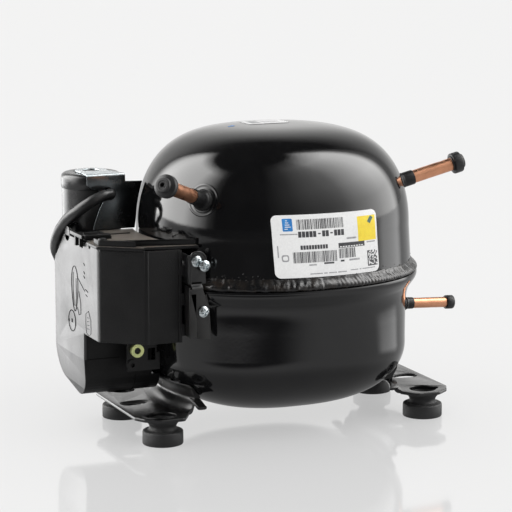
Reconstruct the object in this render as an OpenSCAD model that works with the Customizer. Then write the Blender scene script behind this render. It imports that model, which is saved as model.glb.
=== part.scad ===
// Hermetic reciprocating compressor for a refrigerator, as an assembly of separate pieces.
// Origin: centre of the four-foot pattern on the floor plane.
// +X towards the suction and discharge tubes, -X towards the electrical box, -Y front, +Z up.

/* [Feet] */
// Distance between the foot centres along X
foot_x = 170; // [168:0.5:172]
// Distance between the foot centres along Y
foot_y = 70; // [68:0.5:72]
// Outer diameter of a rubber foot
foot_d = 24; // [22:0.5:26]
// Diameter of the stud hole through a rubber foot
stud_d = 6.6; // [6.4:0.1:7]

/* [Shell] */
// Half length of the upper shell at the seam
shell_a = 83.6; // [83:0.1:84]
// Half width of the upper shell at the seam
shell_b = 75.2; // [75:0.1:75.6]
// Thickness of the pressed steel shells
shell_t = 2.8; // [2.6:0.1:3]
// Height of the top of the dome
shell_top = 179.7; // [179:0.1:181]
// Height of the lowest point of the bowl
shell_low = 11; // [10.6:0.1:11.4]

/* [Mechanism] */
// Diameter of the piston
piston_d = 22; // [21:0.5:22]
// Radius of the crankpin's circle, half the stroke
throw = 8; // [7.5:0.1:8]
// Radial running clearance of the bearings
gap = 0.04; // [0.02:0.01:0.08]

/* [Tubes] */
// Outer diameter of the suction and process tubes
tube_d = 7.94; // [7.6:0.01:8]
// Outer diameter of the discharge tube
out_d = 6.35; // [6:0.01:6.5]

/* [Hidden] */
$fn = 48;
ring_steps = 60;     // points round each shell ring

// Shell form: superellipse rings, in plan and in elevation
plan_n = 2.2;        // plan exponent of the upper shell
seam_z = 92;
dome_base = 120;     // height where the dome starts
dome_in = 3.6;       // exponents of the dome's elevation
dome_up = 2.1;
bowl_base = 52;      // height where the bowl's floor curve starts
bowl_a = 78.5;
bowl_b = 70.9;
label_gap = 0.12;
label_t = 0.15;

// Base brackets
plate_z = 14.9;      // underside
plate_t = 2;
bracket_n = 2.45;    // plan exponent where a bracket meets the bowl

// Line tubes: [base point, direction]
process_line = [[-63.9, -45.8, 144], [-0.701, -0.649, 0.2915]];
suction_line = [[78.2, -11, 141.4], [0.9656, -0.06, 0.2531]];
discharge_line = [[77.9, -20, 67.7], [1, 0, -0.053]];
tube_wall = 0.8;
tube_r = tube_d / 2;
out_r = out_d / 2;
stub_r = 4.5;
out_stub_r = 3.55;

// Terminal, on the -X wall
term_y = 20;
term_z = 58;
pin_circle_r = 6.4;
glass_r = 2.6;
pin_r = 1.15;

// Electrical box
cover_x = -122;      // outer face of the cover
cover_in = -120.2;   // its inner face
box_top = 116.6;
skirt_z = 62.2;      // bottom edge of the cover's front skirt
cap_x = -101.5;      // capacitor axis
cap_y = 39.6;
cap_z = 142.4;       // top of the capacitor's body
clip_z = 151.45;     // underside of the capacitor clip
earth_x = -93.6;     // earth screw axis
earth_z = 52.2;

// Pump
shaft_x = -12;
bolt_x = 38;         // stator bolts and springs, from the shaft axis
bolt_y = 32;
shaft_r = 9;
crankpin_r = 5.5;
crankpin_x = shaft_x + throw;
bore_z = 140.5;      // piston axis height
piston_fit = 0.02;
guide_r = 12;
slider_r = 9;
slot_r = 34.6;       // circle of the stator slots
bar_circle_r = 24;   // circle of the rotor bars
bar_r = 2;

// Cylinder head stack along X
gasket_t = 0.8;
block_x = 43;                   // end face of the cylinder block
valve_x = block_x + gasket_t;
valve_end = valve_x + 3.5;
head_x = valve_end + gasket_t;
head_end = 58;
head_half = 17;                 // half side of the square flange
head_bolt = 13;                 // bolt offset from the bore axis in Y and Z
head_hole_r = 2.3;

// ---- curves ----
function flat(rows) = [for (row = rows) for (point = row) point];
function unit(v) = v / norm(v);
function signed_pow(c, e) = (c < 0 ? -1 : 1) * pow(abs(c), e);
function plan(a, b, n, steps = 120) = [for (j = [0:steps - 1]) let (t = 360 * j / steps)
  [a * signed_pow(cos(t), 2 / n), b * signed_pow(sin(t), 2 / n)]];
function ring(a, b, n, z) = [for (p = plan(a, b, n, ring_steps)) [p[0], p[1], z]];
function arc(centre, r, from, to, steps) = [for (k = [0:steps])
  let (t = from + (to - from) * k / steps) centre + r * [cos(t), sin(t)]];
function circle_points(r, steps) = [for (j = [0:steps - 1]) let (t = 360 * j / steps)
  [r * cos(t), r * sin(t)]];
function bezier(p, t) = let (u = 1 - t)
  u * u * u * p[0] + 3 * u * u * t * p[1] + 3 * u * t * t * p[2] + t * t * t * p[3];
// Smooth curve through the points, ending one step short of the last
function spline(p, steps) = let (n = len(p)) [for (i = [0:n - 2]) for (s = [0:steps - 1])
  let (before = p[max(i - 1, 0)], a = p[i], b = p[i + 1], after = p[min(i + 2, n - 1)])
  bezier([a, a + (b - before) / 6, b - (after - a) / 6, b], s / steps)];

// Shell scale and height; t is the elevation angle from the start of the curve
function wall_scale(z) = 1 - 0.07 * (z - seam_z) / 100;
function dome_scale(t) = wall_scale(dome_base) * pow(cos(t), 2 / dome_in);
function dome_height(t, top) = dome_base + (top - dome_base) * pow(sin(t), 2 / dome_up);
function bowl_n(z) = z > 84 ? 2.2 : 2.2 + 0.3 * min(1, (84 - z) / 40);
function bowl_scale(t) = pow(cos(t), 2 / 2.6);
function bowl_height(t, low) = bowl_base - (bowl_base - low) * pow(sin(t), 2 / 2.3);
// Scale of the upper shell's plan at a height
function shell_scale(z) = z <= dome_base ? wall_scale(z)
  : dome_scale(asin(pow((z - dome_base) / (shell_top - dome_base), dome_up / 2)));
// Height of the dome over a plan point
function dome_over(x, y) =
  let (k = pow(pow(abs(x) / shell_a, plan_n) + pow(abs(y) / shell_b, plan_n), 1 / plan_n))
  dome_height(acos(min(1, pow(k / wall_scale(dome_base), dome_in / 2))), shell_top);
// Point on the front of the upper shell, moved outward in plan
function wall_point(x, z, out) =
  let (k = shell_scale(z), a = shell_a * k + out, b = shell_b * k + out)
  [x, -b * pow(1 - pow(min(1, abs(x) / a), plan_n), 1 / plan_n), z];

// ---- solids from rows of points ----
// Faces joining two rings of m points that start at indices a and b
function band(a, b, m, flip = false) = [for (j = [0:m - 1]) let (k = (j + 1) % m)
  flip ? [a + j, a + k, b + k, b + j] : [a + j, b + j, b + k, a + k]];
function fan(a, apex, m, flip) = [for (j = [0:m - 1]) let (k = (j + 1) % m)
  flip ? [a + j, a + k, apex] : [a + j, apex, a + k]];

// A thick pressed cup: rings run from the open edge to the closed end
module cup(outer, inner, outer_z, inner_z, down = false) {
  m = ring_steps;
  outer_last = (len(outer) - 1) * m;
  inner_first = len(outer) * m;
  inner_last = inner_first + (len(inner) - 1) * m;
  apex = inner_last + m;
  polyhedron(
    points = concat(flat(outer), flat(inner), [[0, 0, outer_z]], [[0, 0, inner_z]]),
    faces = concat(
      flat([for (i = [0:m:outer_last - m]) band(i, i + m, m, down)]),
      fan(outer_last, apex, m, down),
      flat([for (i = [inner_first:m:inner_last - m]) band(i, i + m, m, !down)]),
      fan(inner_last, apex + 1, m, !down),
      band(inner_first, 0, m, down)),
    convexity = 6);
}

// A solid through a row of equal sections, closed at both ends
module loft(rows) {
  m = len(rows[0]);
  last = (len(rows) - 1) * m;
  polyhedron(
    points = flat(rows),
    faces = concat(
      [[for (j = [0:m - 1]) j]],
      [[for (j = [m - 1:-1:0]) last + j]],
      flat([for (i = [0:m:last - m]) band(i, i + m, m)])),
    convexity = 8);
}

// A section swept along a path
module sweep(path, section, ref = [0, 0, 1]) {
  last = len(path) - 1;
  loft([for (i = [0:last])
    let (along_path = unit(path[min(i + 1, last)] - path[max(i - 1, 0)]),
         side = unit(cross(along_path, ref)), up = cross(along_path, side))
    [for (q = section) path[i] + q[0] * side + q[1] * up]]);
}

// A thin sheet from two grids of nx by ny cells, the near one first
module sheet(rows, nx, ny) {
  w = nx + 1;
  far = w * (ny + 1);
  polyhedron(points = flat(rows), faces = concat(
    [for (i = [0:ny - 1]) for (j = [0:nx - 1]) let (a = i * w + j) [a, a + 1, a + w + 1, a + w]],
    [for (i = [0:ny - 1]) for (j = [0:nx - 1]) let (a = far + i * w + j)
      [a, a + w, a + w + 1, a + 1]],
    [for (j = [0:nx - 1]) [j, far + j, far + j + 1, j + 1]],
    [for (j = [0:nx - 1]) let (a = ny * w + j) [a, a + 1, far + a + 1, far + a]],
    [for (i = [0:ny - 1]) let (a = i * w) [a, a + w, far + a + w, far + a]],
    [for (i = [0:ny - 1]) let (a = i * w + nx) [a, far + a, far + a + w, a + w]]),
    convexity = 4);
}

// ---- simple solids and places ----
module xcyl(x0, x1, y, z, r) translate([x0, y, z]) rotate([0, 90, 0]) cylinder(h = x1 - x0, r = r);
module ycyl(y0, y1, x, z, r) translate([x, y1, z]) rotate([90, 0, 0]) cylinder(h = y1 - y0, r = r);
module zcyl(z0, z1, x, y, r) translate([x, y, z0]) cylinder(h = z1 - z0, r = r);
// A box between two opposite corners
module box(low, high) translate(low) cube(high - low);
// Plates: outline in YZ, in XZ (growing towards -Y) and in XY
module side_plate(x0, x1, outline)
  translate([x0, 0, 0]) rotate([90, 0, 90]) linear_extrude(x1 - x0) polygon(outline);
module front_plate(back_y, t, outline)
  translate([0, back_y, 0]) rotate([90, 0, 0]) linear_extrude(t) polygon(outline);
module slab(z, t, outline) translate([0, 0, z]) linear_extrude(t) polygon(outline);

// Places children with their +Z along a line tube
module along(line) {
  d = line[1];
  translate(line[0]) rotate([0, acos(d[2] / norm(d)), atan2(d[1], d[0])]) children();
}
module at_pins() for (a = [90, 210, 330])
  translate([0, term_y + pin_circle_r * cos(a), term_z + pin_circle_r * sin(a)]) children();
module at_corners() for (x = [-bolt_x, bolt_x], y = [-bolt_y, bolt_y])
  translate([shaft_x + x, y, 0]) children();
module at_head_bolts() for (y = [-head_bolt, head_bolt], z = [-head_bolt, head_bolt])
  translate([0, y, bore_z + z]) children();
module around_shaft(count, radius, start = 0) translate([shaft_x, 0, 0])
  for (i = [0:count - 1]) rotate(i * 360 / count + start) translate([radius, 0, 0]) children();

// Space kept clear round the shell: [z, height, half length, half width, exponent]
keepout = [
  [80, 60, shell_a + 4.2, shell_b + 4.2, plan_n],
  [50, 30, 81.6, 74, 2.3],
  [34, 16, 79.6, 73, 2.4],
  [15, 19, 74.5, 69, bracket_n]];
module shell_keepout() for (k = keepout) slab(k[0], k[1], plan(k[2], k[3], k[4]));
module close_keepout(z, t) slab(z, t, plan(shell_a + 0.6, shell_b + 0.6, plan_n));

// ---- housing ----
// Lower shell's wall from the rim down: [half length, half width, z]
rim_outer = [[86.2, 77.8, 92.5], [86.3, 77.9, 90], [85.2, 76.8, 86.6], [82.6, 74.6, 83],
  [80.8, 73, 79], [80, 72.3, 75], [79.2, 71.5, 64]];
rim_inner = [[83.85, 75.45, 92.5], [83.85, 75.45, 87.4], [80.4, 72.2, 83.4],
  [78.2, 70.4, 79], [77.2, 69.5, 75], [76.4, 68.7, 64]];
function lower_rings(rim, inset) = concat(
  [for (r = rim) ring(r[0], r[1], bowl_n(r[2]), r[2])],
  [for (t = [0:8:80]) ring((bowl_a - inset) * bowl_scale(t), (bowl_b - inset) * bowl_scale(t),
    bowl_n(bowl_height(t, shell_low)), bowl_height(t, shell_low + inset))]);
module lower_shell() color("black") difference() {
  cup(lower_rings(rim_outer, 0), lower_rings(rim_inner, shell_t),
    shell_low, shell_low + shell_t, down = true);
  along(discharge_line) translate([0, 0, -13]) cylinder(h = 26, r = out_stub_r + 0.02);
  xcyl(-90, -60, term_y, term_z, 15);
}

function upper_rings(inset, angles) = concat(
  [for (z = [88, 97, 108])
    ring(shell_a * wall_scale(z) - inset, shell_b * wall_scale(z) - inset, plan_n, z)],
  [for (t = angles) ring((shell_a - inset) * dome_scale(t), (shell_b - inset) * dome_scale(t),
    plan_n, dome_height(t, shell_top - inset))]);
module upper_shell() color("black") difference() {
  angles = [for (t = [0:8:80]) t];
  cup(upper_rings(0, concat(angles, [86])), upper_rings(shell_t, angles),
    shell_top, shell_top - shell_t);
  for (line = [process_line, suction_line])
    along(line) translate([0, 0, -20]) cylinder(h = 30, r = stub_r + 0.02);
}

// Section of the seam's bead: [outward from the upper shell, z]
bead = [[0.12, 92.56], [2.5, 92.56], [3.2, 93.6], [2.6, 95], [1.2, 96.4], [0.12, 96.8]];
module weld_bead() color("#1a1a1a") {
  m = ring_steps;
  polyhedron(
    points = flat([for (s = bead) ring(shell_a + s[0], shell_b + s[0], plan_n, s[1])]),
    faces = flat([for (i = [0:len(bead) - 1]) band(i * m, ((i + 1) % len(bead)) * m, m)]),
    convexity = 6);
}

// Bracket plate on the +X side: [x, y]
bracket_outline = [[69.2, -36.5], [75, -46.2], [77, -47], [90.6, -47], [98.5, -41], [102, -34],
  [102, 34], [98.5, 41], [90.6, 47], [77, 47], [75, 46.2], [69.2, 36.5]];
// Section of the riser: [half length of its plan curve, z]
riser = [[77.2, 14.9], [77.2, 16.9], [75.6, 17.3], [74.3, 18.8], [73.2, 20.8], [71.9, 22.6],
  [70.9, 24.2], [71.2, 26.2], [72.6, 29], [74.3, 32.2], [73.4, 32.9], [71.7, 31.5],
  [70.1, 29.5], [68.4, 27.8], [66.5, 26.1], [65.6, 24.6], [67.3, 22.9], [69.3, 22.1],
  [70.8, 20.5], [71.9, 18.2], [73.2, 15.9], [74.9, 14.9]];
riser_angle = 27.2;  // reach to each side of the X axis
riser_steps = 20;
// Centre line of the tongue, and its XZ section
tongue = [[62.2, 41.4, 19.9], [63.2, 39.4, 21.2], [63.7, 36.8, 22.6], [63.6, 32.2, 23.4]];
tongue_section = [[2.5, -1], [2.5, 1], [-2.5, 1], [-2.5, -1]];
// The +X bracket
module bracket() {
  cut_z = plate_z - 1;
  cut_top = plate_z + 3;
  slot_x = 85.5;
  difference() {
    slab(plate_z, plate_t, bracket_outline);
    slab(cut_z, plate_t + 2, plan(76.6, 66, bracket_n));
    // foot holes, each with a slot towards +X
    for (s = [-1, 1]) {
      zcyl(cut_z, cut_top, foot_x / 2, s * foot_y / 2, 8);
      translate([foot_x / 2 - 1, s * foot_y / 2 - 2, cut_z]) cube([11, 4, 4]);
    }
    // keyhole on the X axis
    zcyl(cut_z, cut_top, 92.6, 0, 4.5);
    translate([slot_x, -3, cut_z]) cube([7.1, 6, 4]);
    zcyl(cut_z, cut_top, slot_x, 0, 3);
  }
  // pressed riser that follows the bowl up to its weld line
  loft([for (i = [0:riser_steps]) let (t = riser_angle - 2 * riser_angle * i / riser_steps)
    [for (s = riser) [s[0] * signed_pow(cos(t), 2 / bracket_n),
      (s[0] * 0.903 + 0.6) * signed_pow(sin(t), 2 / bracket_n), s[1]]]]);
  // short turned-down tongue at each end of the riser
  for (m = [0, 1]) mirror([0, m, 0])
    loft([for (p = tongue) [for (s = tongue_section) [p[0] + s[0], p[1], p[2] + s[1]]]]);
}
module left_bracket() color("#202020") mirror([1, 0, 0]) bracket();
module right_bracket() color("#202020") bracket();

module rubber_feet() color("#2b2b2b") {
  r = foot_d / 2;
  for (x = [-1, 1], y = [-1, 1]) translate([x * foot_x / 2, y * foot_y / 2, 0])
    rotate_extrude() polygon([[stud_d / 2, 0], [r - 0.8, 0], [r, 0.8], [r, 7.5], [r - 0.8, 8.3],
      [9.2, 8.5], [8.2, 9.4], [7.9, 10.6], [8.6, 12.2], [10, 13.8], [10, plate_z],
      [7.95, plate_z], [7.95, 16.7], [7.4, 17.3], [stud_d / 2, 17.3]]);
}

// Label on the front wall
module rating_label() color("white") {
  nx = 18;
  nz = 7;
  sheet([for (out = [label_gap, label_gap + label_t]) for (i = [0:nz])
    [for (j = [0:nx]) wall_point(-30.4 + 67.4 * j / nx, 99.8 + 36.4 * i / nz, out)]], nx, nz);
}
module top_label() color("white") {
  nx = 6;
  ny = 5;
  sheet([for (up = [label_gap, label_gap + label_t]) for (i = [0:ny])
    [for (j = [0:nx]) let (x = -14 + 26 * j / nx, y = 2 + 17 * i / ny)
      [x, y, dome_over(x, y) + up]]], nx, ny);
}

// ---- line tubes ----
module stub(h, r, bore_r, flange_r) difference() {
  union() {
    translate([0, 0, -6]) cylinder(h = h + 6, r = r);
    translate([0, 0, -2.5]) cylinder(h = 4.1, r = flange_r);
  }
  translate([0, 0, -7]) cylinder(h = h + 9, r = bore_r);
}
module tube_stubs() color("black") {
  along(process_line) stub(15, stub_r, tube_r + 0.01, 6.2);
  along(suction_line) stub(10.8, stub_r, tube_r + 0.01, 6.4);
  along(discharge_line) stub(7.2, out_stub_r, out_r + 0.01, 4.6);
}
module pipe(z0, z1, r) difference() {
  zcyl(z0, z1, 0, 0, r);
  zcyl(z0 - 1, z1 + 1, 0, 0, r - tube_wall);
}
module process_tube() color("#b87333") along(process_line) pipe(-9, 49, tube_r);
module suction_tube() color("#b87333") along(suction_line) pipe(-9, 40.4, tube_r);
module discharge_tube() color("#b87333") along(discharge_line) pipe(-4, 33, out_r);

// A tube cap; the outer profile is [radius, z] from the open end up.
// dimple_r and dimple_depth size the recess in the end, end_depth the top down to the bore
module cap(bore_r, dimple_r, dimple_depth, end_depth, profile) {
  top = profile[len(profile) - 1][1];
  rotate_extrude() polygon(concat([[bore_r, profile[0][1]]], profile,
    [[dimple_r, top], [dimple_r, top - dimple_depth], [0, top - dimple_depth],
     [0, top - end_depth], [bore_r, top - end_depth]]));
}
module process_cap() color("#1c1c1c") along(process_line)
  cap(tube_r + 0.03, 1.2, 1.6, 4.2, [[4.9, 45.6], [4.9, 46.5], [6.2, 46.6], [6.6, 47],
    [6.6, 50.4], [6.2, 50.8], [4.5, 51.8], [4.4, 53.5], [4, 53.9]]);
module suction_cap() color("#1c1c1c") along(suction_line)
  cap(tube_r + 0.03, 1.2, 1.6, 4.2, [[4.9, 36.8], [4.9, 37.7], [6, 37.8], [6.4, 38.2],
    [6.4, 42.8], [6, 43.2], [4.5, 44], [4.4, 44.7], [4, 45]]);
module discharge_cap() color("#1c1c1c") along(discharge_line)
  cap(out_r + 0.03, 0.7, 0.6, 1.5, [[3.9, 29.8], [4.2, 30.1], [4.2, 34.4], [3.6, 35]]);

// ---- terminal ----
module terminal_cup() color("#8a8a8a") difference() {
  union() {
    xcyl(-80.5, -70, term_y, term_z, 14.95);
    xcyl(-82.4, -80.5, term_y, term_z, 17.5);
  }
  xcyl(-79.4, -69, term_y, term_z, 13.4);
  at_pins() xcyl(-85, -75, 0, 0, glass_r);
}
module terminal_glass() color("#31545c") at_pins() difference() {
  xcyl(-82.6, -79.2, 0, 0, glass_r);
  xcyl(-84, -78, 0, 0, pin_r);
}
module terminal_pins() color("#b0a060") at_pins() xcyl(-94.5, -68, 0, 0, pin_r);
module terminal_fence() color("#1d1d1d") difference() {
  box([-93, -0.4, 41], [-77, 44.6, 79.5]);
  box([-94, 1, 42.4], [-76, 43.2, 78.1]);
  slab(30, 55, plan(80.2, 72.6, 2.3));
}

// ---- electrical box ----
// Rounded lower edge of the box, as [y, z]
function box_base(inset) = concat(
  arc([9.5, 35.6], 12.3 - inset, 180, 282.6, 10),
  arc([30.8, 46.5], 18.6 - inset, 282.6, 360, 12));
module box_housing() color("#232323") difference() {
  side_plate(-120.1, -66, concat(box_base(0),
    [[49.4, 98], [46, 103.2], [20.6, 103.2], [20.6, box_top], [-2.8, box_top]]));
  side_plate(-121, -60, concat(box_base(1.8),
    [[47.6, 97.4], [45.2, 101.4], [18.8, 101.4], [18.8, 118], [-1, 118]]));
  shell_keepout();
  ycyl(46, 52, -116, 94, 3.9);
  box([-104, -4, 66], [-84, 0, 110]);
}

cover_outline = concat([[-30.2, box_top], [-30.2, skirt_z], [-2.8, skirt_z]], box_base(0),
  [[49.4, 98], [44.6, 104.4], [30.8, box_top]]);
module box_cover() color("#262626") difference() {
  union() {
    side_plate(cover_x, cover_in, cover_outline);
    xcyl(cover_x, cover_in, 24.9, 117, 4.6);
    // front skirt and its floor
    slab(skirt_z, 54.4, [[cover_x, -30.2], [-98.3, -47.6], [-77, -47.6], [-77, -45.8],
      [-97.7, -45.8], [cover_in, -29.2], [cover_in, -26], [cover_x, -26]]);
    slab(skirt_z, 1.8, [[-120.9, -29.4], [-98, -46.6], [-78, -46.6], [-78, -4.6],
      [-120.9, -4.6]]);
  }
  // notches in the top edge
  box([-123, 5.5, 113.4], [-119, 8.6, 118]);
  box([-123, -3.4, 113.2], [-119, 0.6, 118]);
  box([-123, -16.5, 114.6], [-119, -13.6, 118]);
  // small window in the face
  box([-124, 22.5, 64.3], [-119, 24.9, 66.7]);
  shell_keepout();
}
module box_lid() color("#262626") difference() {
  union() {
    slab(116.7, 1.9, [[-123.2, -13], [-123.2, -30.8], [-98.8, -49], [-62, -49], [-62, 21],
      [-120, 21], [-120, -13]]);
    // raised front rib and corner boss
    slab(118.6, 3.4, [[-121.6, -22], [-121.6, -29.8], [-98.2, -47.2], [-62, -47.2],
      [-62, -45.8], [-97.8, -45.8], [-120.2, -29.2], [-120.2, -22]]);
    zcyl(118.6, 122.8, -118.6, -28.4, 2.6);
  }
  close_keepout(110, 20);
}
module lid_clip() color("#202020") {
  box([-122.9, -9, 118.62], [-106, 12, 120.2]);
  box([-124.6, -9, 119.4], [-122.9, 12, 121.6]);
  box([-122.9, -10.4, 120.2], [-107, -6, 121.8]);
  // two legs down over the cover
  box([-124.6, -5.5, 114.4], [-122.2, -4, 119.4]);
  box([-124.6, 2, 114], [-122.2, 4, 119.4]);
}

// Screw places, as [x, z]
upper_screw = [-67.4, 107.9];
small_screw = [-72.1, 110.3];
lower_screw = [-67.9, 81.2];
module box_strap() color("#2a2a2a") difference() {
  union() {
    // upper and lower front plates
    front_plate(-53.4, 1.2, [[-74.8, 96.9], [-65.3, 96.9], [-65.3, 111.4], [-67, 114.6],
      [-72.4, 115.6], [-74.8, 113]]);
    front_plate(-55.6, 1.2, [[-76.4, 94.4], [-68.2, 94], [-66.4, 90], [-64.6, 82],
      [-63.2, 64.2], [-71.8, 65.2], [-72.4, 78]]);
    // joggle between them
    box([-76.4, -56.8, 94.2], [-68.2, -53.4, 95.3]);
    box([-74.8, -54.6, 95.2], [-68.2, -53.4, 97.4]);
    // webs along the -X edge
    box([-75.8, -55.2, 66], [-74.6, -46.5, 95.3]);
    box([-76.2, -54.2, 97], [-74.8, -43, 114]);
    box([-76.4, -56.8, 66], [-71.8, -55.2, 92]);
  }
  for (p = [upper_screw, lower_screw]) ycyl(-60, -50, p[0], p[1], 1.9);
  ycyl(-60, -50, small_screw[0], small_screw[1], 1.7);
}
// Cross-head screw with its head towards -Y; y is the front of the head's rim
module screw(place, y, l) {
  x = place[0];
  z = place[1];
  head_r = 3.25;
  difference() {
    union() {
      ycyl(y, y + 1.3, x, z, head_r);
      translate([x, y, z]) rotate([90, 0, 0]) intersection() {
        translate([0, 0, -3.6]) sphere(r = 4.85);
        cylinder(h = 2, r = head_r);
      }
      ycyl(y + 1.3, y + l, x, z, 1.5);
    }
    translate([x - 1.9, y - 3, z - 0.35]) cube([3.8, 2.9, 0.7]);
    translate([x - 0.35, y - 3, z - 1.9]) cube([0.7, 2.9, 3.8]);
  }
}
module strap_screws() color("#c8ccd0") {
  screw(upper_screw, -58.2, 6);
  ycyl(-56.9, -54.6, upper_screw[0], upper_screw[1], 2);
  screw(small_screw, -55.95, 5);
  screw(lower_screw, -58.2, 4.4);
}

module earth_plate() color("#242424") difference() {
  union() {
    box([-99.2, -14.6, 39.6], [-72, -13.2, 56]);
    box([-99.2, -13.2, 54.6], [-80.4, -3, 56]);
    ycyl(-15.8, -14.6, -96.2, 43.5, 3.4);
  }
  box([-86.4, -16, 45.5], [-81.6, -12, 52.8]);
  ycyl(-17, -12, -96.2, 43.5, 1.3);
  ycyl(-17, -12, earth_x, earth_z, 1.55);
  shell_keepout();
}
module earth_ring() color("#c8cf6a") difference() {
  ycyl(-17.2, -14.7, earth_x, earth_z, 3.95);
  ycyl(-18, -14, earth_x, earth_z, 1.95);
}
module earth_screw() color("#8f7440") {
  ycyl(-16, -14.6, earth_x, earth_z, 1.8);
  ycyl(-14.6, -9, earth_x, earth_z, 1.5);
}
module start_relay() color("#e8e4d8") difference() {
  union() {
    box([-112, 6, 60], [-95, 36, 82]);
    box([-104, 10, 56], [-95, 30, 60]);
  }
  at_pins() xcyl(-98, -90, 0, 0, 1.6);
}
module overload_protector() color("#2e2e2e") {
  xcyl(-113, -99, 16, 44, 10.5);
  xcyl(-99, -95, 16, 44, 8);
  box([-115, 14.8, 41], [-113, 17.2, 47]);
}

module run_capacitor() color("#1b1b1b") zcyl(103.4, cap_z, cap_x, cap_y, 17.6);
module capacitor_cap() color("#1b1b1b") {
  translate([cap_x, cap_y, cap_z]) rotate_extrude()
    polygon([[0, 0], [18, 0], [18, 6.6], [17.2, 8.2], [15.6, 9], [0, 9]]);
  box([cap_x - 3, cap_y - 3, 151.4], [cap_x + 3, cap_y + 3, 151.9]);
}
// Front leg of the clip: [x, z]
clip_leg = [[-111.2, 152.45], [-87, 152.45], [-87, 147.2], [-76.3, 147.2], [-78.3, 140],
  [-79.8, 132], [-80.6, 124], [-81, 119], [-107.4, 119], [-106.4, 124], [-103.8, 131],
  [-100.8, 136.4], [-101.6, 139], [-104, 141.6], [-108.4, 143.4], [-111.2, 146]];
module capacitor_clip() color("#9aa0a4") difference() {
  union() {
    translate([cap_x, cap_y, clip_z]) difference() {
      cylinder(h = 1, r = 9.6);
      translate([0, 0, -1]) cylinder(h = 3, r = 5);
    }
    slab(clip_z, 1, [[-110.2, 35.5], [-111.2, 20.2], [-87, 20.2], [-93.2, 35.5], [-97, 32],
      [-106, 32]]);
    front_plate(20.2, 1, clip_leg);
  }
  close_keepout(118.7, 1.3);
}
sleeve_path = [[-98.6, 15.2, 140.6], [-104, 12.6, 140.4], [-112, 12.6, 136.8],
  [-118.6, 17.6, 131], [-121.2, 25.2, 126.3], [-122.5, 35.8, 118.6], [-122.6, 42, 112.9],
  [-121.8, 47.4, 108.4], [-120.2, 52.4, 103.6], [-118, 54, 98.6], [-116, 52.6, 94.1]];
module cable_sleeve() color("#161616")
  sweep(spline(sleeve_path, 4), circle_points(3.3, 12), [0.2, 0.1, 1]);

// ---- suspended pump ----
module spring_seats() color("#555") {
  at_corners() zcyl(30, 32, 0, 0, 7.2);
  for (s = [-1, 1]) {
    zcyl(24.6, 36, shaft_x - bolt_x, s * bolt_y, 4.7);
    zcyl(16.9, 36, shaft_x + bolt_x, s * bolt_y, 4.7);
  }
}
module suspension_springs() color("#777") {
  turns = 5;
  steps = 66;
  at_corners() sweep([for (i = [0:steps]) let (a = 360 * turns * i / steps)
    [6.1 * cos(a), 6.1 * sin(a), 32.85 + 13.3 * i / steps]], circle_points(0.8, 5));
}
loop_path = [[52.6, 6, bore_z - 17.05], [52.6, 6, bore_z - 28], [54, 12, 106], [56, 30, 98],
  [44, 44, 90], [50, 40, 80], [63, 18, 72], [66, -8, 67], [68, -20, 67.9], [73.6, -20, 67.93]];
module discharge_loop() color("#a0705a")
  sweep(spline(loop_path, 5), circle_points(1.7, 8), [0.13, 0.31, 0.94]);

module stator_core() color("#6a6a70") difference() {
  translate([shaft_x, 0, 50]) linear_extrude(36) intersection() {
    square(98, center = true);
    circle(r = 61);
  }
  zcyl(49, 87, shaft_x, 0, 28.3);
  around_shaft(24, slot_r, 7.5) zcyl(49, 87, 0, 0, 2.6);
  at_corners() zcyl(49, 87, 0, 0, 3.2);
}
module coil_end(z, section) translate([shaft_x, 0, z]) rotate_extrude() polygon(section);
module stator_windings() color("#8c4a22") {
  coil_end(37, [[31, 12.98], [30.6, 2], [32, 0], [39.6, 0], [41, 2], [40.4, 12.98]]);
  coil_end(86, [[31, 0.02], [30.6, 13], [32, 15], [39.6, 15], [41, 13], [40.4, 0.02]]);
  around_shaft(24, slot_r, 7.5) zcyl(49.9, 86.1, 0, 0, 2.5);
}
module stator_bolts() color("#8a8a8a") at_corners() {
  zcyl(43, 47, 0, 0, 4.7);
  zcyl(47, 50, 0, 0, 7.2);
  zcyl(50, 112, 0, 0, 3);
}
module crankcase() color("#7d7f82") difference() {
  union() {
    translate([shaft_x, 0, 105]) linear_extrude(9) intersection() {
      square([98, 92], center = true);
      circle(r = 60);
    }
    zcyl(94, 121.5, shaft_x, 0, 15.5);
    at_corners() zcyl(86, 105, 0, 0, 6.6);
    // cylinder, its flange and the webs below
    xcyl(13, block_x, 0, bore_z, 19.5);
    head_square(33, block_x);
    box([17, -15, 110], [block_x, 15, bore_z]);
    box([13, -9, 110], [18, 9, 126]);
    // cup behind the cylinder
    zcyl(110, 129, 8, 36, 12);
  }
  zcyl(93, 123, shaft_x, 0, shaft_r + gap);
  xcyl(10, 45, 0, bore_z, piston_d / 2 + piston_fit);
  zcyl(113, 130, 8, 36, 10);
  at_corners() zcyl(85, 112.1, 0, 0, 3);
  at_head_bolts() xcyl(35, 44, 0, 0, 2);
}
module thrust_washer() color("#b8a060") difference() {
  zcyl(121.52, 121.98, shaft_x, 0, 14);
  zcyl(121, 123, shaft_x, 0, 9.1);
}

// ---- cylinder head ----
module head_square(x0, x1)
  box([x0, -head_half, bore_z - head_half], [x1, head_half, bore_z + head_half]);
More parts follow.
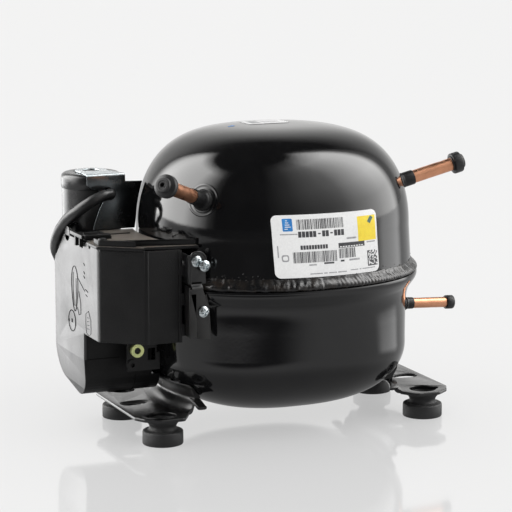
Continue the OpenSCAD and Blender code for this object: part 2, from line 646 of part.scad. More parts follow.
// The two openings side by side in the head and its gasket
module head_chambers(x0, x1) {
  box([x0, -14.6, bore_z - 8.8], [x1, -0.2, bore_z + 9.4]);
  box([x0, 1.8, bore_z - 11.4], [x1, 10.6, bore_z + 9.4]);
}
module valve_gasket() color("#3a4a3a") difference() {
  head_square(block_x, valve_x);
  xcyl(42, 45, 0, bore_z, 11.1);
  at_head_bolts() xcyl(42, 45, 0, 0, head_hole_r);
}
module valve_plate() color("#9a9da0") difference() {
  head_square(valve_x, valve_end);
  xcyl(43, 48, -4, bore_z + 4, 2.3);
  xcyl(43, 48, 6.5, bore_z + 2.5, 1.7);
  at_head_bolts() xcyl(43, 48, 0, 0, head_hole_r);
}
module valve_stop() color("#7c7f82") {
  box([valve_end, 4.2, bore_z - 11], [49.9, 8.8, bore_z - 8.2]);
  box([49.1, 4.2, bore_z - 8.2], [49.9, 8.8, bore_z + 7.6]);
}
module head_gasket() color("#3a4a3a") difference() {
  head_square(valve_end, head_x);
  head_chambers(47, 49);
  at_head_bolts() xcyl(47, 49, 0, 0, head_hole_r);
}
module cylinder_head() color("#a7abae") difference() {
  head_square(head_x, head_end);
  head_chambers(48, 55.6);
  // inlet from the front, outlet below
  ycyl(-18, -14, 52.4, bore_z, 2.6);
  zcyl(bore_z - 18, bore_z - 10, 52.6, 6, 1.9);
  at_head_bolts() xcyl(47, 59, 0, 0, head_hole_r);
}
module head_bolts() color("#55585c") at_head_bolts() {
  xcyl(36, head_end, 0, 0, 2);
  translate([head_end, 0, 0]) rotate([0, 90, 0]) cylinder(h = 3.2, r = 3.7, $fn = 6);
}
module suction_muffler() color("#d8d6c8") difference() {
  union() {
    box([14, -45, 116], [44, -25, 147]);
    // elbow to the cylinder head
    xcyl(43, 52.4, -29, bore_z, 3.4);
    translate([52.4, -29, bore_z]) sphere(r = 3.4);
    ycyl(-29, -17.02, 52.4, bore_z, 3.4);
    zcyl(114.4, 117, 24, -38, 4);
  }
  box([16, -43, 118], [42, -27, 145]);
  zcyl(114, 120, 24, -38, 2.8);
}

// ---- crank and rotor ----
module crankshaft() color("#76797c") difference() {
  union() {
    zcyl(40, 122, shaft_x, 0, shaft_r);
    zcyl(122, 128, shaft_x, 0, 14);
    // counterweight opposite the crankpin
    intersection() {
      zcyl(122, 128, shaft_x, 0, 22.8);
      box([shaft_x - 23, -20, 122], [shaft_x - 2, 20, 128]);
    }
    zcyl(128, bore_z + 6.5, crankpin_x, 0, crankpin_r);
  }
  // oil passages: bottom bore, offset bore, crankpin bore
  zcyl(39, 60, shaft_x, 0, 4.5);
  zcyl(59, 125.4, shaft_x + throw / 2, 0, 2.5);
  zcyl(124, 149, crankpin_x, 0, 1.6);
  zcyl(bore_z + 5.9, bore_z + 7, crankpin_x, 0, 2.4);
}
module rotor_core() color("#62656a") difference() {
  zcyl(49, 87, shaft_x, 0, 28);
  zcyl(48, 88, shaft_x, 0, shaft_r);
  around_shaft(18, bar_circle_r) zcyl(48, 88, 0, 0, bar_r);
}
module rotor_cage() color("#b6b9bc") {
  for (z = [44, 87]) difference() {
    zcyl(z, z + 5, shaft_x, 0, 27.2);
    zcyl(z - 1, z + 6, shaft_x, 0, 17);
  }
  around_shaft(18, bar_circle_r) zcyl(48.9, 87.1, 0, 0, bar_r);
}
module oil_pickup() color("#8a8d90") difference() {
  union() {
    zcyl(22, 46, shaft_x, 0, 4.5);
    translate([shaft_x, 0, 18.4]) cylinder(h = 3.6, r1 = 2.4, r2 = 4.5);
  }
  zcyl(22.6, 47, shaft_x, 0, 3.6);
  zcyl(18, 23, shaft_x, 0, 1.6);
}
module metering_plug() color("#b08d3c") zcyl(100, 108, shaft_x + throw / 2, 0, 2.5 - gap);
module slider_block() color("#7f8488") difference() {
  ycyl(-10, 10, crankpin_x, bore_z, slider_r - gap);
  zcyl(bore_z - 10, bore_z + 10, crankpin_x, 0, crankpin_r + gap);
}
module guide_tube() color("#8b8f93") difference() {
  ycyl(-22, 22, crankpin_x, bore_z, guide_r);
  ycyl(-23, 23, crankpin_x, bore_z, slider_r);
  // slot for the crankpin
  box([crankpin_x - 6.3, -14.6, bore_z - 13], [crankpin_x + 6.3, 14.6, bore_z - 3]);
}
module piston() color("#a2a6aa") difference() {
  xcyl(crankpin_x + 6, 42, 0, bore_z, piston_d / 2 - piston_fit);
  ycyl(-14, 14, crankpin_x, bore_z, guide_r);
  xcyl(crankpin_x + 6, 36, 0, bore_z, 7.5);
  // two grooves round the outside
  for (x = [34, 38]) difference() {
    xcyl(x, x + 1.2, 0, bore_z, 12);
    xcyl(x - 1, x + 3, 0, bore_z, 10.4);
  }
}
module suction_reed() color("#8fa0b0")
  box([43.42, -7.3, bore_z - 7], [43.72, -0.7, bore_z + 7.4]);
module discharge_reed() color("#8fa0b0")
  box([47.36, 4.3, bore_z - 7.6], [47.66, 8.7, bore_z + 6.8]);

lower_shell();
upper_shell();
weld_bead();
left_bracket();
right_bracket();
rubber_feet();
rating_label();
top_label();
tube_stubs();
process_tube();
suction_tube();
discharge_tube();
process_cap();
suction_cap();
discharge_cap();
terminal_cup();
terminal_glass();
terminal_pins();
terminal_fence();
box_housing();
box_cover();
box_lid();
lid_clip();
box_strap();
strap_screws();
earth_plate();
earth_ring();
earth_screw();
start_relay();
overload_protector();
run_capacitor();
capacitor_cap();
capacitor_clip();
cable_sleeve();
spring_seats();
suspension_springs();
discharge_loop();
stator_core();
stator_windings();
stator_bolts();
crankcase();
thrust_washer();
valve_gasket();
valve_plate();
valve_stop();
head_gasket();
cylinder_head();
head_bolts();
suction_muffler();
crankshaft();
rotor_core();
rotor_cage();
oil_pickup();
slider_block();
metering_plug();
guide_tube();
piston();
suction_reed();
discharge_reed();
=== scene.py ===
# A hermetic compressor standing on the floor (z = 0), its shell centred on the z axis.
# The electrical box is at -x, the suction and discharge tubes at +x, the process tube points
# to -x -y, and the rating label faces -y (the front). Shapes are given in millimetres and
# turned into metres when an object is made.
import bpy
import bmesh
import math
import random
import numpy as np
from mathutils import Vector, Matrix, noise


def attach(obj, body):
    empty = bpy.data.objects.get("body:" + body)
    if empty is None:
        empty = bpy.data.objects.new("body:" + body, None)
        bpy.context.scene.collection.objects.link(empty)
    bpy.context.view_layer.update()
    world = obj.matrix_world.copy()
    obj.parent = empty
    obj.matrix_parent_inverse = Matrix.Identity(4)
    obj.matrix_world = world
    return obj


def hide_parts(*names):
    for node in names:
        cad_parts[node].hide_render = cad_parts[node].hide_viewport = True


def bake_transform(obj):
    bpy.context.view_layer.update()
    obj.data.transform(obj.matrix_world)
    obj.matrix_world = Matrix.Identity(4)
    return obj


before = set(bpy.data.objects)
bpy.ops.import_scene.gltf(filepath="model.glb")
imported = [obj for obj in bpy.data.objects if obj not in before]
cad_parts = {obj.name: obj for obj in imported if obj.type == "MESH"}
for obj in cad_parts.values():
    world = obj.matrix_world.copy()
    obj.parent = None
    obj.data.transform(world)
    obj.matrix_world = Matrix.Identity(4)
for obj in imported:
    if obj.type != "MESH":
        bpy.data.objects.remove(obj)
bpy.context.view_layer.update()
MM = 0.001


# ---------------------------------------------------------------- shader nodes
class Graph:
    """An emptied shader tree with short ways to add and link nodes."""

    def __init__(self, owner):
        owner.use_nodes = True
        self.tree = owner.node_tree
        self.tree.nodes.clear()

    def node(self, kind, inputs=None, **settings):
        """Add a node; each input is either linked or given a plain value."""
        node = self.tree.nodes.new("ShaderNode" + kind)
        for key, value in settings.items():
            setattr(node, key, value)
        for key, value in (inputs or {}).items():
            socket = node.inputs[key]
            if isinstance(value, bpy.types.NodeSocket):
                self.tree.links.new(value, socket)
            else:
                socket.default_value = (*value, 1.0) if socket.type == "RGBA" else value
        return node

    def math(self, operation, *values):
        return self.node("Math", dict(enumerate(values)), operation=operation).outputs[0]

    def plus(self, a, b):
        return self.math("ADD", a, b)

    def times(self, a, b):
        return self.math("MULTIPLY", a, b)

    def map_range(self, source, from_min, from_max, to_min=0.0, to_max=1.0, kind="LINEAR"):
        inputs = {"Value": source, "From Min": from_min, "From Max": from_max,
                  "To Min": to_min, "To Max": to_max}
        return self.node("MapRange", inputs, interpolation_type=kind).outputs["Result"]

    def step(self, source, off, on):
        """Smooth step from 0 at `off` to 1 at `on`, in either direction."""
        ends = (0, 1) if off < on else (1, 0)
        return self.map_range(source, min(off, on), max(off, on), *ends, kind="SMOOTHSTEP")

    def window(self, source, off_a, on_a, off_b, on_b):
        return self.times(self.step(source, off_a, on_a), self.step(source, off_b, on_b))

    def mix(self, blend, factor, a, b):
        inputs = {0: factor, 6: a, 7: b}
        return self.node("Mix", inputs, data_type="RGBA", blend_type=blend).outputs[2]

    def mix_shader(self, factor, a, b):
        return self.node("MixShader", {0: factor, 1: a, 2: b}).outputs[0]

    def shader(self, kind, colour, amount=None):
        """`amount` is the shader's second input, its strength or roughness."""
        inputs = {0: colour}
        if amount is not None:
            inputs[1] = amount
        return self.node(kind, inputs).outputs[0]

    def heading(self, x, y, ahead_x, ahead_y):
        """Components of (x, y) ahead along a flat direction and a quarter turn from it."""
        ahead = self.plus(self.times(x, ahead_x), self.times(y, ahead_y))
        across = self.plus(self.times(x, -ahead_y), self.times(y, ahead_x))
        return ahead, across

    def azimuth(self, ahead, across):
        return self.times(self.math("ARCTAN2", across, ahead), 180 / math.pi)

    def coordinates(self, stretch, seed):
        texture = self.node("TexCoord").outputs["Object"]
        place = (seed * 0.137, seed * 0.071, seed * 0.093)
        inputs = {"Vector": texture, "Scale": stretch, "Location": place}
        return self.node("Mapping", inputs).outputs["Vector"]

    def noise(self, scale, detail, rough=0.55, stretch=(1, 1, 1), seed=0.0):
        inputs = {"Vector": self.coordinates(stretch, seed), "Scale": scale,
                  "Detail": detail, "Roughness": rough}
        return self.node("TexNoise", inputs).outputs["Fac"]

    def cells(self, scale, seed):
        inputs = {"Vector": self.coordinates((1, 1, 1), seed), "Scale": scale}
        return self.node("TexVoronoi", inputs).outputs["Distance"]


# ---------------------------------------------------------------- materials
def material(name, base, rough, metal=0.0, coat=0.0, coat_rough=0.06, spec=0.5, alt=None,
             alt_scale=30, alt_range=(0.45, 0.62), stretch=(1, 1, 1), vary=0.08, vary_scale=55,
             bumps=(), cells=None, dust=0.0, sheen=0.0, graze=None):
    """Two-tone surface with fine speckle, uneven roughness and stacked bumps.

    alt: second colour, laid in patches; vary: spread of the roughness
    bumps: (scale, depth in mm, optional stretch); cells: one more bump of cells
    dust: amount on upward faces; graze: colour seen at glancing angles, a painted sheen in place
    of a reflection
    """
    made = bpy.data.materials.new(name)
    made.use_nodes = True
    g = Graph(made)
    patches = g.noise(alt_scale, 4, stretch=stretch, seed=1)
    colour = g.mix("MIX", g.map_range(patches, *alt_range), base,
                   alt or tuple(c * 0.72 for c in base))
    speckle = g.mix("MIX", g.noise(900, 2, seed=2), (0.7, 0.7, 0.7), (1.25, 1.25, 1.25))
    colour = g.mix("MULTIPLY", 0.35, colour, speckle)
    if dust:
        normal = g.node("NewGeometry").outputs["Normal"]
        upward = g.map_range(g.node("SeparateXYZ", {0: normal}).outputs["Z"], 0.2, 1.0)
        specks = g.map_range(g.noise(420, 5, 0.7, seed=3), 0.5, 0.75, 0, dust)
        colour = g.mix("MIX", g.times(upward, specks), colour, (0.5, 0.49, 0.47))
    # Painted sheen: a lighter colour mixed in at glancing angles, in place of a reflection
    if graze:
        facing = g.node("LayerWeight", {"Blend": 0.5}).outputs["Facing"]
        colour = g.mix("MIX", g.map_range(facing, 0.55, 0.85), colour, graze)
    uneven = g.map_range(g.noise(vary_scale, 5, 0.6, stretch, seed=4), 0.3, 0.7,
                         max(0.02, rough - vary), min(1, rough + vary))
    heights = [(g.noise(scale, 4, 0.6, *along, seed=5 + scale * 0.001), depth)
               for scale, depth, *along in bumps]
    if cells:
        heights.append((g.cells(cells[0], seed=5 + cells[0] * 0.001), cells[1]))
    inputs = {"Base Color": colour, "Roughness": uneven, "Metallic": metal,
              "Specular IOR Level": spec, "Coat Weight": coat, "Coat Roughness": coat_rough,
              "Sheen Weight": sheen}
    normal = {}
    for height, depth in heights:
        bump = g.node("Bump", {"Strength": 1.0, "Distance": depth * MM, "Height": height,
                               **normal})
        normal = {"Normal": bump.outputs["Normal"]}
    inputs.update(normal)
    if coat and normal:
        inputs["Coat Normal"] = normal["Normal"]
    g.node("OutputMaterial", {0: g.node("BsdfPrincipled", inputs).outputs[0]})
    return made


PAINT = material("shell_gloss_paint", (0.0032, 0.0032, 0.0036), rough=0.45, coat=1.0,
                 coat_rough=0.09, alt=(0.005, 0.005, 0.0054), vary=0.06, spec=0.0,
                 bumps=((120, 0.03), (620, 0.008)), dust=0.012)
WELD_PAINT = material("weld_painted", (0.006, 0.006, 0.0065), rough=0.30, coat=0.62,
                      coat_rough=0.09, alt=(0.016, 0.013, 0.011), alt_scale=160, vary=0.12,
                      spec=0.12, bumps=((800, 0.11), (2600, 0.02)))
COLLAR_PAINT = material("collar_paint", (0.004, 0.004, 0.0044), rough=0.46, coat=0.10,
                        coat_rough=0.30, alt=(0.007, 0.007, 0.0074), spec=0.22,
                        bumps=((500, 0.03),))
SATIN_PAINT = material("bracket_satin_paint", (0.006, 0.006, 0.0064), rough=0.34, coat=0.55,
                       coat_rough=0.20, alt=(0.011, 0.0105, 0.010), spec=0.2,
                       bumps=((260, 0.05), (1300, 0.015)), dust=0.10)
RUBBER = material("foot_rubber", (0.012, 0.012, 0.0125), rough=0.60, alt=(0.019, 0.019, 0.0195),
                  vary=0.1, bumps=((1800, 0.06),), dust=0.12, spec=0.35, sheen=0.03)
CAP_RUBBER = material("cap_rubber", (0.008, 0.008, 0.0086), rough=0.46,
                      alt=(0.013, 0.013, 0.0138), bumps=((2200, 0.04),), dust=0.08, spec=0.38)
COPPER = material("drawn_copper", (0.68, 0.335, 0.20), rough=0.33, metal=1.0,
                  alt=(0.52, 0.245, 0.14), alt_scale=110, alt_range=(0.35, 0.75), vary=0.07,
                  vary_scale=200, bumps=((600, 0.01), (2500, 0.006)))
LOOP_COPPER = material("coppered_loop", (0.55, 0.26, 0.16), rough=0.36, metal=0.9,
                       alt=(0.32, 0.15, 0.09), vary=0.1, bumps=((900, 0.03),))
STEEL = material("plated_steel", (0.50, 0.50, 0.49), rough=0.34, metal=0.95,
                 alt=(0.40, 0.40, 0.39), vary=0.1, bumps=((1500, 0.02),))
GLASS = material("sealing_glass", (0.07, 0.15, 0.17), rough=0.08, coat=1.0,
                 alt=(0.04, 0.09, 0.11), vary=0.03, bumps=((700, 0.03),))
PIN = material("pin_metal", (0.66, 0.62, 0.48), rough=0.26, metal=1.0,
               bumps=((2500, 0.015, (1, 0.1, 1)),))
PLASTIC = material("textured_plastic", (0.0050, 0.0050, 0.0053), rough=0.44,
                   alt=(0.0075, 0.0075, 0.0078), vary=0.05, vary_scale=200,
                   bumps=((1100, 0.16),), cells=(1500, 0.05), dust=0.08, spec=0.22)
SMOOTH_PLASTIC = material("smooth_plastic", (0.0050, 0.0050, 0.0053), rough=0.36,
                          alt=(0.0075, 0.0075, 0.0078), vary=0.06, bumps=((500, 0.03),),
                          dust=0.05, spec=0.3)
# Copy of the smooth plastic for the lid's top, a little lighter, with a tan painted sheen at
# glancing angles
LID_SHEEN_PLASTIC = material("lid_top_painted_sheen", (0.008, 0.008, 0.0082), rough=0.42,
                       alt=(0.012, 0.0115, 0.011), vary=0.06, bumps=((1100, 0.05),), dust=0.10,
                       spec=0.3, graze=(0.22, 0.195, 0.17))
# Lighter, glossier copy of the box plastic for the cover's face: painted light on that side
LIT_FACE_PLASTIC = material("cover_face_painted_light", (0.016, 0.016, 0.0165), rough=0.38,
                        alt=(0.020, 0.020, 0.0205), vary=0.05, bumps=((1300, 0.06),), spec=0.65)
# Dull near-black for the strips in grooves and moulded lines: painted shade in the recesses
RECESS_SHADE = material("recess_painted_shade", (0.006, 0.006, 0.006), rough=0.8, spec=0.1, bumps=((900, 0.02),))
ZINC = material("zinc_plate", (0.62, 0.66, 0.68), rough=0.26, metal=1.0, alt=(0.50, 0.56, 0.58),
                alt_scale=90, vary=0.1, vary_scale=140, bumps=((1400, 0.02),))
# Darker copy of the zinc plate for the capacitor clip's upright leaf: painted shade
ZINC_PAINTED_SHADE = material("zinc_plate_painted_shade", (0.115, 0.125, 0.13), rough=0.24, metal=1.0,
                     alt=(0.09, 0.10, 0.105), alt_scale=60, vary=0.09, vary_scale=120,
                     bumps=((900, 0.02),))
EARTH = material("earth_passivated", (0.72, 0.76, 0.34), rough=0.30, metal=0.75,
                 alt=(0.58, 0.64, 0.30), alt_scale=200, vary=0.1, bumps=((1200, 0.02),))
BRASS = material("yellow_brass", (0.72, 0.54, 0.24), rough=0.28, metal=1.0,
                 bumps=((1800, 0.02),))
BRONZE = material("bearing_bronze", (0.60, 0.42, 0.22), rough=0.34, metal=1.0,
                  bumps=((1500, 0.02),))
RELAY = material("relay_plastic", (0.72, 0.70, 0.63), rough=0.36, alt=(0.68, 0.66, 0.58),
                 bumps=((900, 0.03),))
PHENOLIC = material("phenolic", (0.035, 0.028, 0.024), rough=0.42, alt=(0.05, 0.04, 0.034),
                    bumps=((1200, 0.04),))
CAPACITOR = material("capacitor_plastic", (0.006, 0.006, 0.0066), rough=0.30, coat=0.2,
                     coat_rough=0.2, alt=(0.009, 0.009, 0.0095), vary=0.06,
                     bumps=((240, 0.07), (1400, 0.02)), dust=0.05)
VINYL = material("sleeve_vinyl", (0.007, 0.007, 0.0075), rough=0.40, alt=(0.010, 0.010, 0.0105),
                 bumps=((500, 0.04),), dust=0.05)
SPRING = material("spring_steel", (0.44, 0.45, 0.47), rough=0.26, metal=1.0,
                  alt=(0.30, 0.30, 0.31), alt_scale=120, bumps=((2500, 0.015),))
SEAT = material("seat_steel", (0.30, 0.30, 0.31), rough=0.36, metal=1.0, vary=0.1,
                bumps=((1500, 0.02),))
LAMINATION = material("lamination_steel", (0.36, 0.37, 0.39), rough=0.42, metal=0.9,
                      alt=(0.26, 0.27, 0.29), alt_scale=2000, stretch=(0.02, 0.02, 1.0),
                      vary=0.1, vary_scale=1600, bumps=((1800, 0.25, (0.01, 0.01, 1.0)),))
WIRE = material("enamelled_wire", (0.62, 0.20, 0.06), rough=0.24, metal=0.55, coat=0.8,
                alt=(0.40, 0.11, 0.035), alt_scale=900, vary=0.06,
                bumps=((1100, 0.6, (0.25, 0.25, 1.3)),))
BOLT = material("bolt_steel", (0.24, 0.25, 0.26), rough=0.34, metal=0.95, vary=0.1,
                bumps=((1500, 0.03),))
IRON = material("cast_grey_iron", (0.28, 0.285, 0.29), rough=0.55, metal=0.75,
                alt=(0.20, 0.205, 0.21), alt_scale=200, vary=0.1,
                bumps=((900, 0.22), (2600, 0.1)))
GROUND = material("ground_iron", (0.52, 0.53, 0.54), rough=0.20, metal=1.0,
                  alt=(0.44, 0.45, 0.46), alt_scale=300, stretch=(1, 1, 8), vary=0.06,
                  bumps=((1500, 0.02, (1, 1, 10)),))
GASKET = material("gasket_fibre", (0.16, 0.25, 0.19), rough=0.75, alt=(0.12, 0.19, 0.15),
                  alt_scale=700, bumps=((2500, 0.06),))
DIECAST = material("die_cast", (0.60, 0.61, 0.63), rough=0.40, metal=0.9,
                   alt=(0.52, 0.53, 0.55), alt_scale=150, vary=0.1, bumps=((1200, 0.09),))
MUFFLER = material("muffler_plastic", (0.76, 0.73, 0.62), rough=0.40, alt=(0.70, 0.67, 0.56),
                   vary=0.06, bumps=((600, 0.03),))
FILM = material("label_film", (0.83, 0.83, 0.825), rough=0.30, coat=0.35, coat_rough=0.15,
                alt=(0.80, 0.80, 0.80), vary=0.05, bumps=((90, 0.08), (1600, 0.008)))
INK = material("label_ink", (0.035, 0.035, 0.04), rough=0.4, alt=(0.06, 0.06, 0.065),
               alt_scale=500)
GREY_INK = material("label_ink_grey", (0.30, 0.30, 0.31), rough=0.45, alt=(0.42, 0.42, 0.43),
                    alt_scale=900)
BLUE = material("label_blue", (0.03, 0.25, 0.62), rough=0.35, alt=(0.02, 0.18, 0.5),
                alt_scale=200)
YELLOW = material("label_yellow", (0.90, 0.70, 0.05), rough=0.35, alt=(0.86, 0.64, 0.04),
                  alt_scale=120)
GREEN = material("label_green", (0.035, 0.10, 0.09), rough=0.4, alt=(0.05, 0.13, 0.12),
                 alt_scale=400)

CAD_MATERIALS = (
    (PAINT, "lower_shell upper_shell tube_stubs"),
    (WELD_PAINT, "weld_bead"),
    (SATIN_PAINT, "left_bracket right_bracket box_strap terminal_fence"),
    (SMOOTH_PLASTIC, "earth_plate box_lid lid_clip earth_screw"),
    (PLASTIC, "box_housing box_cover"),
    (RUBBER, "rubber_feet"),
    (FILM, "rating_label top_label"),
    (COPPER, "process_tube suction_tube discharge_tube"),
    (LOOP_COPPER, "discharge_loop"),
    (CAP_RUBBER, "process_cap suction_cap discharge_cap"),
    (STEEL, "terminal_cup oil_pickup valve_plate valve_stop"),
    (GLASS, "terminal_glass"),
    (PIN, "terminal_pins"),
    (ZINC, "strap_screws"),
    (ZINC_PAINTED_SHADE, "capacitor_clip"),
    (EARTH, "earth_ring"),
    (BRASS, "metering_plug"),
    (BRONZE, "thrust_washer"),
    (RELAY, "start_relay"),
    (PHENOLIC, "overload_protector"),
    (CAPACITOR, "run_capacitor capacitor_cap"),
    (VINYL, "cable_sleeve"),
    (SPRING, "suspension_springs suction_reed discharge_reed"),
    (SEAT, "spring_seats"),
    (LAMINATION, "stator_core rotor_core"),
    (WIRE, "stator_windings"),
    (BOLT, "stator_bolts head_bolts"),
    (IRON, "crankcase"),
    (GROUND, "crankshaft slider_block piston guide_tube"),
    (GASKET, "valve_gasket head_gasket"),
    (DIECAST, "cylinder_head rotor_cage"),
    (MUFFLER, "suction_muffler"),
)


# ---------------------------------------------------------------- making objects
def add_object(name, verts, faces, materials, slot, sharp, body="housing", replaces=None,
               indices=None):
    """One mesh object; `sharp` is the angle in degrees above which edges stay hard."""
    mesh = bpy.data.meshes.new(name)
    mesh.from_pydata([tuple(c * MM for c in v) for v in verts], [],
                     [tuple(int(i) for i in f) for f in faces])
    mesh.validate()
    mesh.update()
    made = bpy.data.objects.new(name, mesh)
    bpy.context.scene.collection.objects.link(made)
    for entry in materials:
        mesh.materials.append(entry)
    if indices is not None:
        mesh.polygons.foreach_set("material_index", indices)
    bm = bmesh.new()
    bm.from_mesh(mesh)
    bmesh.ops.recalc_face_normals(bm, faces=bm.faces)
    bm.to_mesh(mesh)
    bm.free()
    mesh.shade_smooth()
    mesh.set_sharp_from_angle(angle=math.radians(sharp))
    if body:
        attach(made, body)
    if replaces:
        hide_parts(replaces)
    return made


class Piece:
    """Collects the closed parts of one object."""

    def __init__(self):
        self.verts, self.faces, self.indices = [], [], []

    def add(self, verts, faces, index=0):
        start = len(self.verts)
        self.verts += [tuple(v) for v in verts]
        self.faces += [tuple(start + k for k in f) for f in faces]
        self.indices += [index] * len(faces)

    def make(self, name, *materials, **options):
        return add_object(name, self.verts, self.faces, materials, indices=self.indices,
                          **options)

    def skin(self, node, *materials, **options):
        """Make the object that takes the place of the CAD piece `node`."""
        return self.make(node + "_skin", *materials, replaces=node, **options)


# ---------------------------------------------------------------- shape helpers
def turn(count):
    return [2 * math.pi * i / count for i in range(count)]


def sweep(start, end, count):
    """Angles in radians between two angles in degrees, both included."""
    return np.radians(np.linspace(start, end, count))


def arc(cx, cy, radius, angles):
    return [(cx + radius * math.cos(t), cy + radius * math.sin(t)) for t in angles]


def circle(cx, cy, radius, count):
    return arc(cx, cy, radius, turn(count))


def signed_power(value, power):
    return math.copysign(abs(value) ** power, value)


def oval_point(half_x, half_y, power, t):
    """Point of a superellipse; a higher power gives squarer corners."""
    return (half_x * signed_power(math.cos(t), 2 / power),
            half_y * signed_power(math.sin(t), 2 / power))


def noise3(x, y, z):
    return noise.noise(Vector((x, y, z)))


def ripple(depth, around, along):
    """Radius error for a lathe, smooth round the axis and along it."""
    return lambda t, s: depth * noise3(math.cos(t) * around, math.sin(t) * around, s * along)


def quads(first, second, count):
    return [(first + j, first + (j + 1) % count, second + (j + 1) % count, second + j)
            for j in range(count)]


def loft(rows, closed=False):
    """Skin over closed loops of equal length, capped unless the rows close on themselves."""
    m, n = len(rows[0]), len(rows)
    faces = []
    for i in range(n if closed else n - 1):
        faces += quads(i * m, ((i + 1) % n) * m, m)
    if not closed:
        faces.append(tuple(range(m)))
        faces.append(tuple((n - 1) * m + j for j in range(m - 1, -1, -1)))
    return [p for row in rows for p in row], faces


def side_axes(axis):
    axis = Vector(axis).normalized()
    if abs(axis.z) > 0.95:
        side = axis.orthogonal().normalized()
    else:
        side = axis.cross(Vector((0, 0, 1))).normalized()
    return side, axis.cross(side)


def lathe(origin, axis, profile, count, closed=False, wobble=None):
    """Turned part; profile holds (distance along the axis, radius)."""
    origin = Vector(origin)
    axis = Vector(axis).normalized()
    a, b = side_axes(axis)
    rows = [[tuple(origin + axis * s
                   + (a * math.cos(t) + b * math.sin(t)) * (r + (wobble(t, s) if wobble else 0)))
             for t in turn(count)] for s, r in profile]
    return loft(rows, closed)


def fillet(points, radii, steps=6):
    """Closed flat outline with rounded corners, one radius for all or one for each."""
    out = []
    for i in range(len(points)):
        before, corner = Vector(points[i - 1]), Vector(points[i])
        after = Vector(points[(i + 1) % len(points)])
        radius = radii[i] if isinstance(radii, list) else radii
        if radius <= 0:
            out.append(tuple(corner))
            continue
        u, w = before - corner, after - corner
        u_length, w_length = u.length, w.length
        u /= u_length
        w /= w_length
        angle = math.acos(max(-1, min(1, u.dot(w))))
        cut = min(radius / math.tan(angle / 2), u_length * 0.48, w_length * 0.48)
        a, b = corner + u * cut, corner + w * cut
        for q in range(steps + 1):
            s = q / steps
            out.append(tuple(a * (1 - s) ** 2 + corner * 2 * s * (1 - s) + b * s * s))
    return out


def on_axis(a, b, height, axis):
    """Point of a flat outline raised along the named axis."""
    return {"x": (height, a, b), "y": (a, height, b), "z": (a, b, height)}[axis]


def prism(outline, low, high, axis="z", edge=0.0):
    """Extruded outline whose rims are rounded by `edge`."""
    points = [Vector(p) for p in outline]
    n = len(points)
    area = sum(points[i].x * points[(i + 1) % n].y - points[(i + 1) % n].x * points[i].y
               for i in range(n))
    sign = 1 if area > 0 else -1
    normals = []
    for i in range(n):
        e0 = (points[i] - points[i - 1]).normalized()
        e1 = (points[(i + 1) % n] - points[i]).normalized()
        face_normal = Vector((e1.y, -e1.x)) * sign
        normal = Vector((e0.y + e1.y, -(e0.x + e1.x))) * sign
        normal = normal / normal.length if normal.length > 1e-9 else face_normal
        normals.append(normal / max(0.35, normal.dot(face_normal)))
    rim = [(edge * (1 - math.cos(t)), edge * (1 - math.sin(t)))
           for t in (math.pi / 2 * q / 3 for q in range(4))] if edge > 0 else [(0, 0)]
    levels = [(low + rise, inset) for rise, inset in rim]
    levels += [(high - rise, inset) for rise, inset in reversed(rim)]
    return loft([[on_axis(*(p - k * inset), height, axis) for p, k in zip(points, normals)]
                 for height, inset in levels])


def rounded_box(piece, low, high, radius, edge):
    corners = [low[:2], (high[0], low[1]), high[:2], (low[0], high[1])]
    piece.add(*prism(fillet(corners, radius, 4), low[2], high[2], "z", edge))


def smooth_curve(points, per):
    """Catmull-Rom curve with `per` steps between given points."""
    points = [Vector(p) for p in points]
    padded = [points[0]] + points + [points[-1]]
    out = []
    for a, b, c, d in zip(padded, padded[1:], padded[2:], padded[3:]):
        for q in range(per):
            t = q / per
            out.append(0.5 * ((2 * b) + (c - a) * t + (2 * a - 5 * b + 4 * c - d) * t * t
                              + (3 * b - a - 3 * c + d) * t ** 3))
    return out + [points[-1]]


def tube(path, radius, count, closed=False):
    """Round section swept along a path; radius is a number or a function of 0..1."""
    path = [Vector(p) for p in path]
    n = len(path)
    rows = []
    side = None
    for i in range(n):
        if closed:
            along = (path[(i + 1) % n] - path[i - 1]).normalized()
        else:
            along = (path[min(i + 1, n - 1)] - path[max(i - 1, 0)]).normalized()
        if side is None:
            side = along.orthogonal().normalized()
        side = (side - along * side.dot(along)).normalized()
        up = along.cross(side)
        r = radius(i / max(1, n - 1)) if callable(radius) else radius
        rows.append([tuple(path[i] + (side * math.cos(q) + up * math.sin(q)) * r)
                     for q in turn(count)])
    return loft(rows, closed)


def plate(piece, outline, holes, low, high, axis="z", bevel=0.25, bend=None):
    """Flat plate with holes and bevelled edges; `bend` may move each finished point."""
    curve = bpy.data.curves.new("tmp_plate", "CURVE")
    curve.dimensions = "2D"
    curve.fill_mode = "BOTH"
    curve.extrude = (high - low) / 2 - bevel
    curve.bevel_depth = bevel
    curve.offset = -bevel
    curve.bevel_resolution = 2
    curve.resolution_u = 1
    for loop in [outline] + list(holes):
        spline = curve.splines.new("POLY")
        spline.points.add(len(loop) - 1)
        spline.use_cyclic_u = True
        for point, place in zip(spline.points, loop):
            point.co = (place[0], place[1], 0, 1)
    holder = bpy.data.objects.new("tmp_plate", curve)
    bpy.context.scene.collection.objects.link(holder)
    bpy.context.view_layer.update()
    graph = bpy.context.evaluated_depsgraph_get()
    mesh = bpy.data.meshes.new_from_object(holder.evaluated_get(graph))
    bm = bmesh.new()
    bm.from_mesh(mesh)
    bmesh.ops.remove_doubles(bm, verts=bm.verts, dist=1e-4)
    bmesh.ops.dissolve_degenerate(bm, edges=bm.edges, dist=1e-4)
    bm.verts.ensure_lookup_table()
    bm.verts.index_update()
    middle = (low + high) / 2
    verts = [on_axis(v.co.x, v.co.y, v.co.z + middle, axis) for v in bm.verts]
    if bend:
        verts = [bend(*p) for p in verts]
    piece.add(verts, [tuple(v.index for v in f.verts) for f in bm.faces])
    bm.free()
    bpy.data.objects.remove(holder)
    bpy.data.curves.remove(curve)
    bpy.data.meshes.remove(mesh)


